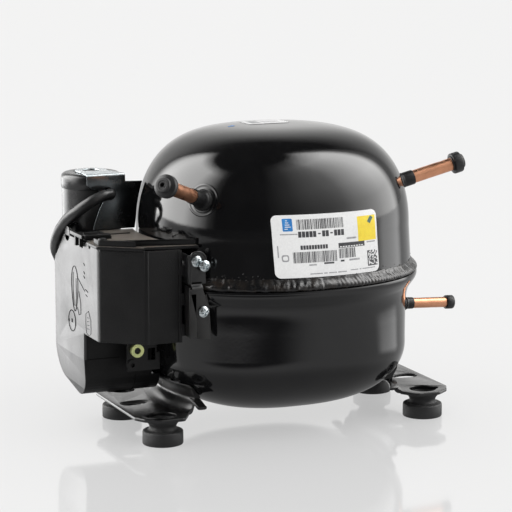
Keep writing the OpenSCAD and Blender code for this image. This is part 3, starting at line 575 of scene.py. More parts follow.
# ---------------------------------------------------------------- shell
SHELL_X, SHELL_Y = 83.6, 75.2    # half sizes of the upper shell near its rim
SHELL_WALL = 2.8
SHELL_POWER = 2.2                # squareness of the upper shell's outline
SHELL_TOP = 179.7
DOME_Z = 120                     # the dome starts here
DOME_POWER_XY, DOME_POWER_Z = 3.6, 2.1
BOWL_X, BOWL_Y = 78.5, 70.9      # half sizes where the bowl starts to round off
BOWL_Z, BOWL_BOTTOM = 52, 11
SHELL_SEGMENTS = 288


def wall_scale(z):
    return 1 - 0.07 * (z - 92) / 100


def dome_scale(s):
    return wall_scale(DOME_Z) * max(0.0, math.cos(s)) ** (2 / DOME_POWER_XY)


def dome_height(s, top):
    return DOME_Z + (top - DOME_Z) * max(0.0, math.sin(s)) ** (2 / DOME_POWER_Z)


def bowl_power(z):
    return 2.2 if z > 84 else 2.2 + 0.3 * min(1, (84 - z) / 40)


def shell_scale(z):
    if z <= DOME_Z:
        return wall_scale(z)
    rise = (z - DOME_Z) / (SHELL_TOP - DOME_Z)
    return dome_scale(math.asin(min(1, rise ** (DOME_POWER_Z / 2))))


def dome_z(x, y):
    """Height of the dome above a point."""
    k = ((abs(x) / SHELL_X) ** SHELL_POWER
         + (abs(y) / SHELL_Y) ** SHELL_POWER) ** (1 / SHELL_POWER) / wall_scale(DOME_Z)
    return dome_height(math.acos(min(1, k ** (DOME_POWER_XY / 2))), SHELL_TOP)


def resample(line, count, half_x):
    """Even steps of arc length along a line of (scale, z)."""
    lengths = [0.0]
    for p, q in zip(line, line[1:]):
        lengths.append(lengths[-1] + math.hypot(p[0] * half_x - q[0] * half_x, p[1] - q[1]))
    return [tuple(np.interp(lengths[-1] * i / count, lengths, [p[c] for p in line])
                  for c in range(2)) for i in range(count + 1)]


def quarter(fine_count):
    """Angles from 0 to nearly 90 degrees, crowded near the end."""
    return np.radians(np.concatenate([np.linspace(0, 80, 240),
                                      np.linspace(80.2, 89.95, fine_count)]))


def dome_rows(half_x, half_y, top, count):
    line = [(wall_scale(z), z) for z in (88.0, 97.0, 108.0)]
    line += [(dome_scale(s), dome_height(s, top)) for s in quarter(400)]
    return [(half_x * k, half_y * k, SHELL_POWER, z) for k, z in resample(line, count, half_x)]


def bowl_rows(half_x, half_y, bottom, count):
    line = [(max(0.0, math.cos(s)) ** (2 / 2.6),
             BOWL_Z - (BOWL_Z - bottom) * math.sin(s) ** (2 / 2.3)) for s in quarter(300)]
    return [(half_x * k, half_y * k, bowl_power(z), z)
            for k, z in resample(line, count, half_x)]


def cup(outer, inner, outer_apex, inner_apex):
    """Double-walled cup; rows are (half x, half y, power, z) from the rim to the apex."""
    m = SHELL_SEGMENTS
    verts = [(*oval_point(a, b, power, t), z)
             for a, b, power, z in outer + inner for t in turn(m)]
    faces = []
    apex = len(verts)
    inner_start = len(outer) * m
    for start, rows in ((0, outer), (inner_start, inner)):
        for i in range(len(rows) - 1):
            faces += quads(start + i * m, start + (i + 1) * m, m)
    faces += quads(0, inner_start, m)
    verts += [(0, 0, outer_apex), (0, 0, inner_apex)]
    for last, tip in ((inner_start - m, apex), (apex - m, apex + 1)):
        faces += [(last + j, last + (j + 1) % m, tip) for j in range(m)]
    return verts, faces


add_object(
    "upper_shell_skin",
    *cup(dome_rows(SHELL_X, SHELL_Y, SHELL_TOP, 84),
         dome_rows(SHELL_X - SHELL_WALL, SHELL_Y - SHELL_WALL, SHELL_TOP - SHELL_WALL, 44),
         SHELL_TOP, SHELL_TOP - SHELL_WALL),
    [PAINT], slot="shell_paint", sharp=50, replaces="upper_shell")

# Rolled lip and upper wall of the lower shell: half x, half y, power, z
LIP = [
    (86.2, 77.8, 2.2, 92.5), (86.75, 78.35, 2.2, 92.2), (86.95, 78.55, 2.2, 91.2),
    (86.75, 78.35, 2.2, 89.6), (86.2, 77.8, 2.2, 88.2), (85.2, 76.8, 2.2, 86.6),
    (83.9, 75.7, 2.2, 84.8), (82.6, 74.6, bowl_power(83), 83.2),
    (81.6, 73.7, bowl_power(81), 81.2), (80.8, 73, bowl_power(79), 79),
    (80, 72.3, bowl_power(75), 75), (79.5, 71.8, bowl_power(69.5), 69.5),
    (79.2, 71.5, bowl_power(64), 64),
]
# Inner wall of the lower shell: half x, half y, z
INNER_WALL = [(83.85, 75.45, 92.5), (83.85, 75.45, 87.4), (80.4, 72.2, 83.4), (78.2, 70.4, 79),
              (77.2, 69.5, 75), (76.4, 68.7, 64)]
lip_rows = [tuple(p[c] * (1 - q / 2) + r[c] * q / 2 for c in range(4))
            for p, r in zip(LIP, LIP[1:]) for q in range(2)] + [LIP[-1]]
add_object(
    "lower_shell_skin",
    *cup(lip_rows + bowl_rows(BOWL_X, BOWL_Y, BOWL_BOTTOM, 60),
         [(a, b, bowl_power(z), z) for a, b, z in INNER_WALL]
         + bowl_rows(BOWL_X - SHELL_WALL, BOWL_Y - SHELL_WALL, BOWL_BOTTOM + SHELL_WALL, 36),
         BOWL_BOTTOM, BOWL_BOTTOM + SHELL_WALL),
    [PAINT], slot="shell_paint", sharp=50, replaces="lower_shell")

# ---------------------------------------------------------------- weld round the shell
# Section of the bead: offset from the shell, z
WELD_SECTION = [
    (-0.7, 92.6), (1.2, 92.45), (2.3, 92.6), (3.0, 93.1), (3.35, 93.8), (3.3, 94.6), (2.8, 95.5),
    (2.1, 96.3), (1.45, 97.0), (0.85, 97.7), (0.45, 98.5), (0.2, 99.3), (-0.7, 99.6),
]
WELD_COUNT = 1080
girth = [oval_point(SHELL_X, SHELL_Y, SHELL_POWER, t) for t in turn(720)]
WELD_LENGTH = sum(math.dist(girth[i - 1], girth[i]) for i in range(720))


def weld_point(j, i, t):
    """Bead surface: even ripples at the back and +x front, rougher lumps at the -x front."""
    offset, z = WELD_SECTION[j]
    x_unit, y_unit = oval_point(1, 1, SHELL_POWER, t)
    s = WELD_LENGTH * i / WELD_COUNT
    lift = 0
    if 1 <= j <= 11:
        even = 1.0 if y_unit > 0 else max(0.0, min(1.0, (x_unit + 0.02) / 0.28))
        uneven = 1 - even
        front = 1.0 if (y_unit < 0 and -0.75 < x_unit < 0.2) else 0.55
        ripples = abs(math.sin(math.pi * (s / 2.3 + 0.16 * (z - 95) ** 2 * 0.35)))
        lumps = (0.34 * even * (ripples - 0.6)
                 + (0.30 + 0.45 * uneven) * front * noise3(s / 5.4, z / 2.8, 1.7)
                 + 0.22 * noise3(s / 1.3, z / 1.1, 5.2)
                 + 0.15 * noise3(s / 14, 3.1, 7.7) - 0.35 * uneven)
        if -0.36 < x_unit < -0.02 and y_unit < 0:    # built-up stretch
            lumps += 1.1 * max(0, noise3(s / 2.4, z / 1.6, 12.0)) + 0.5
        offset += math.sin(math.pi * j / 12) ** 0.7 * lumps
        offset = max(offset, 0.05 if j < 11 else 0.0)
        if j >= 6:
            lift = (j - 5) / 6 * (0.9 * noise3(s / 5.5, 9.3, 2.0)
                                  + 0.45 * noise3(s / 1.7, 4.4, 8.0))
        if j <= 3:
            lift = 0.25 * noise3(s / 3.0, 2.2, 3.0)
    z += lift
    k = wall_scale(z) if z > 96 else 1.0
    return (SHELL_X * k + offset) * x_unit, (SHELL_Y * k + offset) * y_unit, z


def shell_point(t, z):
    k = shell_scale(z)
    return Vector((*oval_point(SHELL_X * k, SHELL_Y * k, SHELL_POWER, t), z))


def shell_normal(t, z):
    around = shell_point(t + 0.004, z) - shell_point(t - 0.004, z)
    upward = shell_point(t, z + 0.5) - shell_point(t, z - 0.5)
    normal = around.cross(upward).normalized()
    return normal if normal.dot(Vector((math.cos(t), math.sin(t), 0))) > 0 else -normal


weld = Piece()
weld.add(*loft([[weld_point(j, i, t) for i, t in enumerate(turn(WELD_COUNT))]
                for j in range(len(WELD_SECTION))], closed=True))
# Spatter above the bead, most of it in front, kept off the label
rng = random.Random(11)
for i in range(190):
    t = rng.uniform(0, 2 * math.pi) if i % 3 else rng.uniform(3.7, 5.2)
    z = 98.4 + abs(rng.gauss(0, 1.6))
    r = rng.uniform(0.18, 0.5)
    on_label = z > 99.6 and math.sin(t) < 0 and abs(shell_point(t, z).x) < 34.5
    if z > 103 or on_label:
        continue
    normal = shell_normal(t, z)
    weld.add(*lathe(shell_point(t, z) - normal * 0.2, normal,
                    [(0, r * 0.9), (0.2, r), (0.2 + r * 0.5, r * 0.8),
                     (0.2 + r * 0.8, r * 0.35)], 8))
weld.make("weld_ring", WELD_PAINT, slot="shell_paint", sharp=60, replaces="weld_bead")

# ---------------------------------------------------------------- tubes and caps
# Each pair is where a tube leaves the shell and its outward direction
PROCESS = Vector((-63.9, -45.8, 144)), Vector((-0.701, -0.649, 0.2915)).normalized()
SUCTION = Vector((78.2, -11, 141.4)), Vector((0.9656, -0.06, 0.2531)).normalized()
DISCHARGE = Vector((77.9, -20, 67.7)), Vector((1, 0, -0.053)).normalized()
WIDE_TUBE, NARROW_TUBE = 3.97, 3.175    # outer radii: process and suction, discharge
TUBE_WALL = 0.8


def outside(p):
    """Positive outside the upper shell, negative inside."""
    k = shell_scale(max(88.0, min(179.6, p.z)))
    return ((abs(p.x) / (SHELL_X * k)) ** SHELL_POWER
            + (abs(p.y) / (SHELL_Y * k)) ** SHELL_POWER - 1)


def shell_hit(origin, axis):
    """Point where a line crosses the shell, found by halving."""
    near, far = -25.0, 25.0
    for _ in range(40):
        middle = (near + far) / 2
        if outside(origin + axis * middle) > 0:
            far = middle
        else:
            near = middle
    return origin + axis * ((near + far) / 2)


def outside_normal(p):
    steps = (Vector((0.2, 0, 0)), Vector((0, 0.2, 0)), Vector((0, 0, 0.2)))
    return Vector([outside(p + v) - outside(p - v) for v in steps]).normalized()


def boss(name, paint, place, profile):
    """Raised ring following the shell; profile holds (radius, height above the shell)."""
    origin, axis = place
    a, b = side_axes(axis)
    rows = []
    for r, height in profile:
        hits = [shell_hit(origin + (a * math.cos(t) + b * math.sin(t)) * r, axis)
                for t in turn(96)]
        rows.append([tuple(p + outside_normal(p) * height) for p in hits])
    piece = Piece()
    piece.add(*loft(rows, closed=True))
    piece.make(name, paint, slot="shell_paint", sharp=60)


boss("tube_bosses", PAINT, PROCESS, [
    (4.4, -0.6), (4.4, 0.8), (5.0, 0.85), (5.6, 0.6), (6.0, 0.2), (6.4, 0.05), (6.6, 0.11),
    (6.8, 0.14), (7.0, 0.10), (7.2, 0.02), (8.3, 0.02), (8.55, 0.06), (8.8, 0.12), (9.1, 0.13),
    (9.35, 0.08), (9.6, 0.02), (9.9, -0.03), (10.2, -0.5)])
boss("suction_boss", COLLAR_PAINT, SUCTION, [
    (4.4, -0.6), (4.4, 1.7), (5.2, 1.9), (6.0, 1.8), (6.6, 1.5), (7.2, 1.0), (7.8, 0.6),
    (8.4, 0.35), (9.0, 0.2), (9.6, 0.05), (9.9, -0.05), (10.2, -0.5)])


def collar(piece, place, height, radius, flange, bore):
    """Flanged collar with a slightly uneven fillet above the flange."""
    profile = [
        (-6, radius - 0.4), (-6, radius), (-2.5, radius), (-2.5, flange - 0.3), (-2.2, flange),
        (0.7, flange), (1.2, flange - 0.25), (1.6, flange - 0.9), (1.9, radius + 0.75),
        (2.4, radius + 0.3), (3.1, radius + 0.08), (4.0, radius), (height * 0.55, radius + 0.03),
        (height - 0.5, radius), (height - 0.12, radius - 0.1), (height, radius - 0.35),
        (height, bore + 0.015), (-6, bore + 0.015)]

    def wobble(t, s):
        if not 1.2 < s < height - 0.6:
            return 0
        return 0.05 * noise3(math.cos(t) * 2 + s * 0.3, math.sin(t) * 2, s * 0.7)

    piece.add(*lathe(*place, profile, 72, closed=True, wobble=wobble))


collars = Piece()
collar(collars, PROCESS, height=15, radius=4.5, flange=6.2, bore=WIDE_TUBE)
collar(collars, SUCTION, height=10.8, radius=4.5, flange=6.4, bore=WIDE_TUBE)
collar(collars, DISCHARGE, height=7.2, radius=3.55, flange=4.6, bore=NARROW_TUBE)
collars.add(*lathe(*SUCTION, [(-4, 4.72), (3.6, 4.72), (4.0, 4.55), (4.0, 4.05), (-4, 4.05)], 72,
                   closed=True))
collars.make("tube_collars", COLLAR_PAINT, slot="shell_paint", sharp=40, replaces="tube_stubs")


def pipe(node, place, start, end, radius, dents=()):
    """Open tube; each dent is (distance along, angle, depth, width)."""
    profile = [(start + (end - start) * i / 60, radius) for i in range(60)]
    profile += [(end - 0.25, radius), (end, radius - 0.25), (end, radius - TUBE_WALL),
                (start, radius - TUBE_WALL)]
    uneven = ripple(0.035, 1.5, 0.35)

    def wobble(t, s):
        w = uneven(t, s)
        for along, angle, depth, width in dents:
            across = math.atan2(math.sin(t - angle), math.cos(t - angle)) * radius
            w -= depth * math.exp(-((s - along) ** 2 + across * across) / (width * width))
        return w

    piece = Piece()
    piece.add(*lathe(*place, profile, 72, closed=True, wobble=wobble))
    piece.skin(node, COPPER, slot="copper", sharp=40)


pipe("process_tube", PROCESS, start=-9, end=49, radius=WIDE_TUBE)
pipe("suction_tube", SUCTION, start=-9, end=40.4, radius=WIDE_TUBE,
     dents=[(24, 2.2, 0.22, 2.2), (31, 4.4, 0.15, 2.6)])
pipe("discharge_tube", DISCHARGE, start=-4, end=33, radius=NARROW_TUBE,
     dents=[(11, 3.6, 0.45, 1.8)])


def tube_cap(node, body, place, bore, floor, hole, profile):
    """Moulded cap with a dimple of radius `hole` in its end and a solid end `floor` thick."""
    start, end = profile[0][0], profile[-1][0]
    if hole > 0.8:
        dimple = [(end, hole + 1.5), (end - 0.3, hole + 1.2), (end - 0.3, hole + 0.5),
                  (end - 0.05, hole + 0.3), (end - 0.2, hole + 0.06), (end - 0.5, hole),
                  (end - 2.9, hole * 0.92), (end - 3.0, 0.05)]
    else:
        dimple = [(end, hole + 0.5), (end - 0.2, hole), (end - 0.55, hole * 0.8),
                  (end - 0.6, 0.05)]
    section = [(start, bore + 0.05)] + profile + dimple
    section += [(end - floor, 0.05), (end - floor, bore), (start + 0.3, bore)]
    piece = Piece()
    piece.add(*lathe(*place, section, 80, closed=True, wobble=ripple(0.02, 2, 0.6)))
    piece.skin(node, CAP_RUBBER, body=body, slot="cap_rubber", sharp=36)


tube_cap("process_cap", "process_plug", PROCESS, bore=4.0, floor=4.2, hole=1.15, profile=[
    (45.6, 4.75), (45.75, 4.9), (46.5, 4.95), (46.6, 5.3), (46.6, 6.25), (46.75, 6.5),
    (47.1, 6.62), (48.6, 6.66), (50.1, 6.62), (50.45, 6.5), (50.65, 6.2), (51.4, 5.1),
    (51.6, 4.6), (51.75, 4.42), (53.3, 4.38), (53.75, 4.2), (53.9, 3.8)])
tube_cap("suction_cap", "suction_plug", SUCTION, bore=4.0, floor=4.2, hole=1.0, profile=[
    (36.8, 4.75), (36.95, 4.9), (37.6, 4.95), (37.7, 5.3), (37.7, 6.0), (37.85, 6.28),
    (38.2, 6.4), (40.5, 6.44), (42.7, 6.4), (43.0, 6.28), (43.2, 5.95), (43.85, 4.9),
    (43.95, 4.5), (44.1, 4.4), (44.6, 4.38), (44.9, 4.2), (45.0, 3.8)])
tube_cap("discharge_cap", "discharge_plug", DISCHARGE, bore=3.2, floor=1.5, hole=0.7, profile=[
    (29.8, 3.7), (29.9, 4.05), (30.15, 4.2), (32.2, 4.24), (34.3, 4.2), (34.7, 4.0),
    (34.95, 3.6), (35.0, 3.1)])

# ---------------------------------------------------------------- labels
LABEL_X0, LABEL_X1, LABEL_Z0, LABEL_Z1 = -32.8, 33.2, 100.3, 136.6


def on_front(x, z, lift):
    """Label point wrapped on the front of the shell, a little stretched, shifted and skewed."""
    x = x * 1.022 + 1.95 + 2.2 * (LABEL_Z1 - z) / (LABEL_Z1 - LABEL_Z0)
    z = z - 0.5 - 0.006 * x
    k = shell_scale(z)
    a, b = SHELL_X * k + lift, SHELL_Y * k + lift
    across = max(0.0, 1 - min(1, abs(x) / a) ** SHELL_POWER)
    return x, -b * across ** (1 / SHELL_POWER), z


def on_dome(x, y, lift):
    return x, y, dome_z(x, y) + lift


def patch(piece, wrap, x0, x1, y0, y1, radius, low, high, index, x_steps, y_steps):
    """Rounded rectangle laid on the shell, from lift `low` to lift `high`."""
    corner = [radius * (1 - math.cos(math.pi / 2 * i / 6)) for i in range(7)] if radius else [0]
    xs = [x0 + c for c in corner]
    xs += [x0 + radius + (x1 - x0 - 2 * radius) * i / x_steps for i in range(1, x_steps)]
    xs += [x1 - c for c in reversed(corner)]
    flat = []
    for x in xs:
        over = max(0, x0 + radius - x, x - (x1 - radius))
        inset = radius - math.sqrt(max(0, radius * radius - over * over))
        inset = min(inset, (y1 - y0) / 2 - 0.01)
        flat += [(x, y0 + inset + (y1 - y0 - 2 * inset) * j / y_steps)
                 for j in range(y_steps + 1)]
    verts = [wrap(x, y, lift) for lift in (high, low) for x, y in flat]
    h, q = y_steps + 1, len(flat)
    faces = []
    for i in range(len(xs) - 1):
        for j in range(y_steps):
            a = i * h + j
            faces.append((a, a + h, a + h + 1, a + 1))
            faces.append((q + a, q + a + 1, q + a + h + 1, q + a + h))
        faces.append((i * h, q + i * h, q + (i + 1) * h, (i + 1) * h))
        a = i * h + y_steps
        faces.append((a, a + h, q + a + h, q + a))
    for j in range(y_steps):
        faces.append((j, j + 1, q + j + 1, q + j))
        a = (len(xs) - 1) * h + j
        faces.append((a, q + a, q + a + 1, a + 1))
    piece.add(verts, faces, index)


label = Piece()
film, black, grey, blue, yellow, green = range(6)    # material indices on the label


def label_x(u):
    return LABEL_X0 + (LABEL_X1 - LABEL_X0) * u


def label_z(v):
    return LABEL_Z0 + (LABEL_Z1 - LABEL_Z0) * v


def ink(u0, u1, v0, v1, index, radius=0.0, lift=0.38):
    """Printed rectangle, placed in fractions of the label's width and height."""
    x0, x1, z0, z1 = label_x(u0), label_x(u1), label_z(v0), label_z(v1)
    patch(label, on_front, x0, x1, z0, z1, radius, 0.24, lift, index,
          max(1, math.ceil((x1 - x0) / 1.6)), max(1, math.ceil((z1 - z0) / 1.3)))


def bars(u0, u1, v0, v1, seed):
    """Bar code of random bar widths and gaps."""
    rng = random.Random(seed)
    u = u0
    while u < u1 - 0.004:
        width = rng.choice((0.0035, 0.0035, 0.006, 0.0095))
        gap = rng.choice((0.0035, 0.0045, 0.0075))
        if u + width > u1:
            break
        ink(u, u + width, v0, v1, black)
        u += width + gap


def words(u, v0, v1, widths, gap, index):
    for width in widths:
        ink(u, u + width, v0, v1, index, 0.18)
        u += width + gap


patch(label, on_front, LABEL_X0, LABEL_X1, LABEL_Z0, LABEL_Z1, radius=3.4, low=0.12, high=0.30,
      index=film, x_steps=60, y_steps=30)
ink(0.092, 0.178, 0.745, 0.945, blue, 0.5)
for k in range(5):
    ink(0.108 + 0.003 * k, 0.135 + 0.009 * ((k * 7) % 4), 0.775 + 0.033 * k, 0.787 + 0.033 * k,
        film, 0.1, 0.42)
ink(0.065, 0.215, 0.688, 0.704, grey, 0.15)
bars(0.215, 0.655, 0.765, 0.925, seed=3)
# Digits under the upper bar code, in groups parted by dashes, then a line below:
# u, v0, v1, widths, gap
for row in ((0.222, 0.640, 0.735, [0.028] * 5, 0.0055), (0.402, 0.68, 0.70, [0.024], 0.01),
            (0.440, 0.640, 0.735, [0.028] * 2, 0.0055), (0.516, 0.68, 0.70, [0.024], 0.01),
            (0.553, 0.640, 0.735, [0.028] * 3, 0.0055),
            (0.235, 0.445, 0.512, [0.020] * 10, 0.0055)):
    words(*row, black)
bars(0.165, 0.572, 0.235, 0.41, seed=8)
ink(0.066, 0.128, 0.262, 0.372, grey, 1.2)
ink(0.076, 0.118, 0.285, 0.349, film, 0.9, 0.42)
ink(0.588, 0.852, 0.435, 0.515, black)
for k in range(9):
    ink(0.60 + 0.027 * k, 0.618 + 0.027 * k, 0.445, 0.462, film, 0.1, 0.42)
bars(0.588, 0.752, 0.27, 0.425, seed=21)
words(0.672, 0.568, 0.595, [0.098], 0.01, grey)
words(0.876, 0.478, 0.498, [0.092], 0.01, grey)
ink(0.79, 0.982, 0.515, 0.912, yellow)
for row in ((0.30, 0.185, 0.207, [0.07], 0.01, grey), (0.44, 0.198, 0.225, [0.095], 0.01, black),
            (0.60, 0.215, 0.243, [0.035], 0.01, black),
            (0.685, 0.22, 0.248, [0.105], 0.01, grey),
            (0.305, 0.045, 0.062, [0.115, 0.035, 0.075, 0.085], 0.012, grey),
            (0.69, 0.062, 0.076, [0.08, 0.02, 0.14], 0.012, grey)):
    words(*row)
ink(0.034, 0.044, 0.33, 0.52, grey, 0.2)
# Square code at the lower right
rng = random.Random(5)
CELL_U, CELL_V = 0.0098, 0.0178
for i in range(11):
    for j in range(14):
        if i == 0 or j == 0 or rng.random() < 0.52:
            ink(0.876 + i * CELL_U, 0.876 + (i + 1) * CELL_U + 0.0002,
                0.10 + j * CELL_V, 0.10 + (j + 1) * CELL_V, black)
# Short slanted stroke on the yellow patch
x0, z0, x1, z1 = label_x(0.908), label_z(0.80), label_x(0.945), label_z(0.892)
stroke_length = math.hypot(x1 - x0, z1 - z0)
side_x = -(z1 - z0) / stroke_length * 1.15
side_z = (x1 - x0) / stroke_length * 1.15
quad = [(x0 + side_x, z0 + side_z), (x0 - side_x, z0 - side_z),
        (x1 - side_x, z1 - side_z), (x1 + side_x, z1 + side_z)]
label.add([on_front(x, z, lift) for lift in (0.46, 0.26) for x, z in quad],
          [(0, 1, 2, 3), (7, 6, 5, 4), (0, 4, 5, 1), (1, 5, 6, 2), (2, 6, 7, 3), (3, 7, 4, 0)],
          green)
label.make("rating_plate", FILM, INK, GREY_INK, BLUE, YELLOW, GREEN, slot="label_film", sharp=50,
           replaces="rating_label")

# Label on the dome and a small blue mark beside it:
# x0, x1, y0, y1, corner radius, low, high, material index, x steps, y steps
TOP_PATCHES = [
    (-14, 12, 2, 19, 1.6, 0.10, 0.26, 0, 16, 8),
    (-11, -5, 5, 16, 0.5, 0.2, 0.285, 1, 4, 4),
    (-3, 9, 12.4, 13.6, 0.3, 0.2, 0.285, 1, 6, 2),
    (-3, 6, 9.4, 10.4, 0.3, 0.2, 0.285, 1, 6, 2),
    (-3, 8, 6.4, 7.2, 0.3, 0.2, 0.285, 1, 6, 2),
    (-28, -23.6, 1.5, 3.1, 0.6, 0.02, 0.12, 2, 4, 2),
    (-25.4, -24.0, 2.4, 5.0, 0.4, 0.02, 0.11, 2, 4, 2),
]
tag = Piece()
for row in TOP_PATCHES:
    patch(tag, on_dome, *row)
tag.make("top_tag", FILM, GREY_INK, BLUE, slot="label_film", sharp=50, replaces="top_label")

# ---------------------------------------------------------------- brackets and feet
FOOT_X, FOOT_Y = 85, 35
BRACKET_POWER = 2.45    # squareness of the edge that follows the bowl
# Section of the riser against the bowl: x, z
RISER = [
    (76.8, 14.9), (77.3, 15.3), (77.3, 16.5), (76.8, 16.95), (75.6, 17.3), (74.8, 18.0),
    (74.2, 18.9), (73.7, 19.9), (73.1, 20.9), (72.4, 22.0), (71.6, 23.0), (71.1, 24.2),
    (71.2, 25.2), (71.5, 26.4), (72.0, 27.8), (72.7, 29.3), (73.5, 30.8), (74.2, 32.2),
    (74.2, 32.7), (73.6, 32.9), (72.9, 32.5), (71.6, 31.0), (70.0, 29.2), (68.2, 27.5),
    (66.6, 26.1), (65.7, 25.0), (65.8, 24.4), (66.6, 23.5), (67.8, 22.9), (69.2, 22.3),
    (70.3, 21.3), (71.1, 19.8), (71.8, 18.1), (72.6, 16.6), (73.6, 15.5), (74.9, 14.95),
]
TONGUE_PATH = [(63.9, 31.0, 23.6), (63.8, 34.5, 23.2), (63.6, 37.4, 22.3), (63.0, 39.8, 20.9),
               (62.2, 41.4, 19.8)]


def foot_hole(y):
    """Round hole with a small notch towards +x."""
    points = []
    for t in turn(84):
        r = 7.98 + 2.6 * math.exp(-(math.atan2(math.sin(t), math.cos(t)) / 0.30) ** 2)
        points.append((FOOT_X + r * math.cos(t), y + r * math.sin(t)))
    return points


def flange(piece, side):
    inner = [oval_point(76.0, 69.4, BRACKET_POWER, t) for t in sweep(-27, 27, 44)]
    outer = fillet([inner[0], (75, -46.2), (77, -47), (90.6, -47), (98.5, -41), (102, -34),
                    (102, 34), (98.5, 41), (90.6, 47), (77, 47), (75, 46.2), inner[-1]],
                   [0, 2.5, 2.0, 2.5, 2.5, 2.5, 2.5, 2.5, 2.5, 2.0, 2.5, 0])
    middle_hole = [(90.2 + 8.2 * math.cos(t),
                    5.7 * math.sin(t) * (1 + 0.12 * math.cos(2 * t) + 0.16 * math.cos(t)))
                   for t in turn(96)]

    def press(x, y, z):
        """A shallow groove round each hole."""
        for foot_y in (FOOT_Y, -FOOT_Y):
            r = math.hypot(x - FOOT_X, y - foot_y)
            z -= 0.30 * math.exp(-((r - 9.2) / 1.2) ** 2)
        r = math.hypot((x - 90.2) / 9.8, y / 7.4)
        z -= 0.30 * math.exp(-((r - 1) / 0.16) ** 2)
        return side * x, y, z

    plate(piece, outer + inner[-2:0:-1], [foot_hole(-FOOT_Y), foot_hole(FOOT_Y), middle_hole],
          14.9, 16.9, bevel=0.45, bend=press)


def riser(piece, side):
    centre_x = sum(p[0] for p in RISER) / len(RISER)
    centre_z = sum(p[1] for p in RISER) / len(RISER)
    count = 90
    rows = []
    for i in range(count + 1):
        t = math.radians(27.2 - 54.4 * i / count)
        k = 0.9 + 0.1 * math.sin(math.pi / 2 * min(1, min(i, count - i) / 4.0))
        row = []
        for section_x, section_z in RISER:
            reach = centre_x + (section_x - centre_x) * k
            x, y = oval_point(reach, reach * 0.903 + 0.6, BRACKET_POWER, t)
            row.append((side * x, y, centre_z + (section_z - centre_z) * k))
        rows.append(row)
    piece.add(*loft(rows))


def tongue(piece, side, end):
    """Short strip turned down at one end of the riser."""
    path = smooth_curve(TONGUE_PATH, 6)
    last = len(path) - 1
    across = Vector((1, 0, 0))
    rows = []
    for i, centre in enumerate(path):
        along = (path[min(i + 1, last)] - path[max(i - 1, 0)]).normalized()
        normal = across.cross(along).normalized()
        taper = min(1.0, (last - i) / 3 + 0.55)
        half_width, half_height, r = 2.7 * taper, 0.8 + 0.2 * taper, 0.4
        row = []
        for a, b in ((1, 1), (-1, 1), (-1, -1), (1, -1)):
            for q in range(4):
                angle = math.radians(q * 30) + math.atan2(b, a) - math.pi / 4
                p = (centre + across * (a * (half_width - r) + r * math.cos(angle))
                     + normal * (b * (half_height - r) + r * math.sin(angle)))
                row.append((side * p.x, end * p.y, p.z))
        rows.append(row)
    piece.add(*loft(rows))


def tack_radius(u):
    return 0.35 + 0.75 * math.sin(math.pi * u) ** 0.5 + 0.12 * math.sin(u * 40)


def bracket(side, node):
    piece = Piece()
    flange(piece, side)
    riser(piece, side)
    for end in (-1, 1):
        tongue(piece, side, end)
    # Weld tacks along the top of the riser
    for end in (-1, 1):
        for start in (4, 12):
            tack = [oval_point(73.4, 66.6, BRACKET_POWER, t)
                    for t in sweep(start, start + 6, 14)]
            piece.add(*tube([(side * x, end * y, 32.8) for x, y in tack], tack_radius, 10))
    piece.skin(node, SATIN_PAINT, slot="bracket_paint", sharp=45)


bracket(-1, "left_bracket")
bracket(1, "right_bracket")

# Section of a foot: z, radius
FOOT = [
    (0, 3.3), (0, 9.4), (0.35, 9.9), (0.1, 10.5), (0.1, 11.3), (0.25, 11.75), (0.8, 12),
    (4.0, 12.02), (7.3, 11.95), (7.9, 11.75), (8.25, 11.2), (8.3, 10.4), (8.35, 9.3), (8.7, 8.7),
    (9.4, 8.2), (10.5, 7.9), (11.3, 8.1), (12.2, 8.6), (12.9, 9.2), (13.5, 9.75), (14.1, 10.1),
    (14.7, 10.1), (14.87, 9.8), (14.87, 9.3), (14.7, 8.6), (13.9, 8.0), (13.2, 7.2), (12.8, 6.0),
    (12.6, 4.6), (12.5, 3.3),
]
foot_ripple = ripple(0.03, 3, 1)


def foot_wobble(t, s):
    return (0.05 * math.cos(2 * t + 0.6) if s < 8 else 0) + foot_ripple(t, s)


feet = Piece()
for x in (-FOOT_X, FOOT_X):
    for y in (-FOOT_Y, FOOT_Y):
        feet.add(*lathe((x, y, 0), (0, 0, 1), FOOT, 88, closed=True, wobble=foot_wobble))
feet.skin("rubber_feet", RUBBER, slot="foot_rubber", sharp=48)

# ---------------------------------------------------------------- electrical box
FACE_X = -122                     # outer face of the cover
FACE_BACK = -120.2
COVER_Z0, COVER_Z1 = 62.2, 116.6
BEND_Z, BEND_SLOPE = 46.3, 0.062    # below this height the face leans back by this slope
EASE_Y = -27.6                    # in front of this the face curves back
DRUM = (9.5, 35.6, 12.3)          # y, z and radius of the lower lobe

cover = Piece()
# Outlines on the face are (y, z)
face_outline = (
    fillet([(-28.6, COVER_Z1), (-30.2, 115.0), (-30.2, COVER_Z0), (-2.8, COVER_Z0)],
           [0, 0.8, 1.0, 1.4], 4)
    + arc(*DRUM, sweep(180, 282.6, 14)) + arc(30.8, 46.5, 18.6, sweep(282.6, 360, 18)[1:])
    + fillet([(49.4, 97), (49.4, 98), (44.6, 104.4)], [0, 3, 3], 4)
    + [(30.8, 116.6), (20.6, 117.0), (8.7, 117.0), (8.6, 113.4), (5.5, 113.4), (5.5, 117.0),
       (0.6, 117.0), (0.6, 113.2), (-3.4, 113.2), (-3.4, 116.9), (-13.6, 116.9),
       (-13.6, 114.8), (-16.5, 114.8), (-16.5, 116.7)])
plate(cover, face_outline, [circle(23.7, 65.5, 1.15, 20)], FACE_X, FACE_BACK, "x", 0.35)
cover.add(*prism(circle(24.9, 117.4, 4.6, 40), FACE_X, FACE_BACK, "x", 0.3))
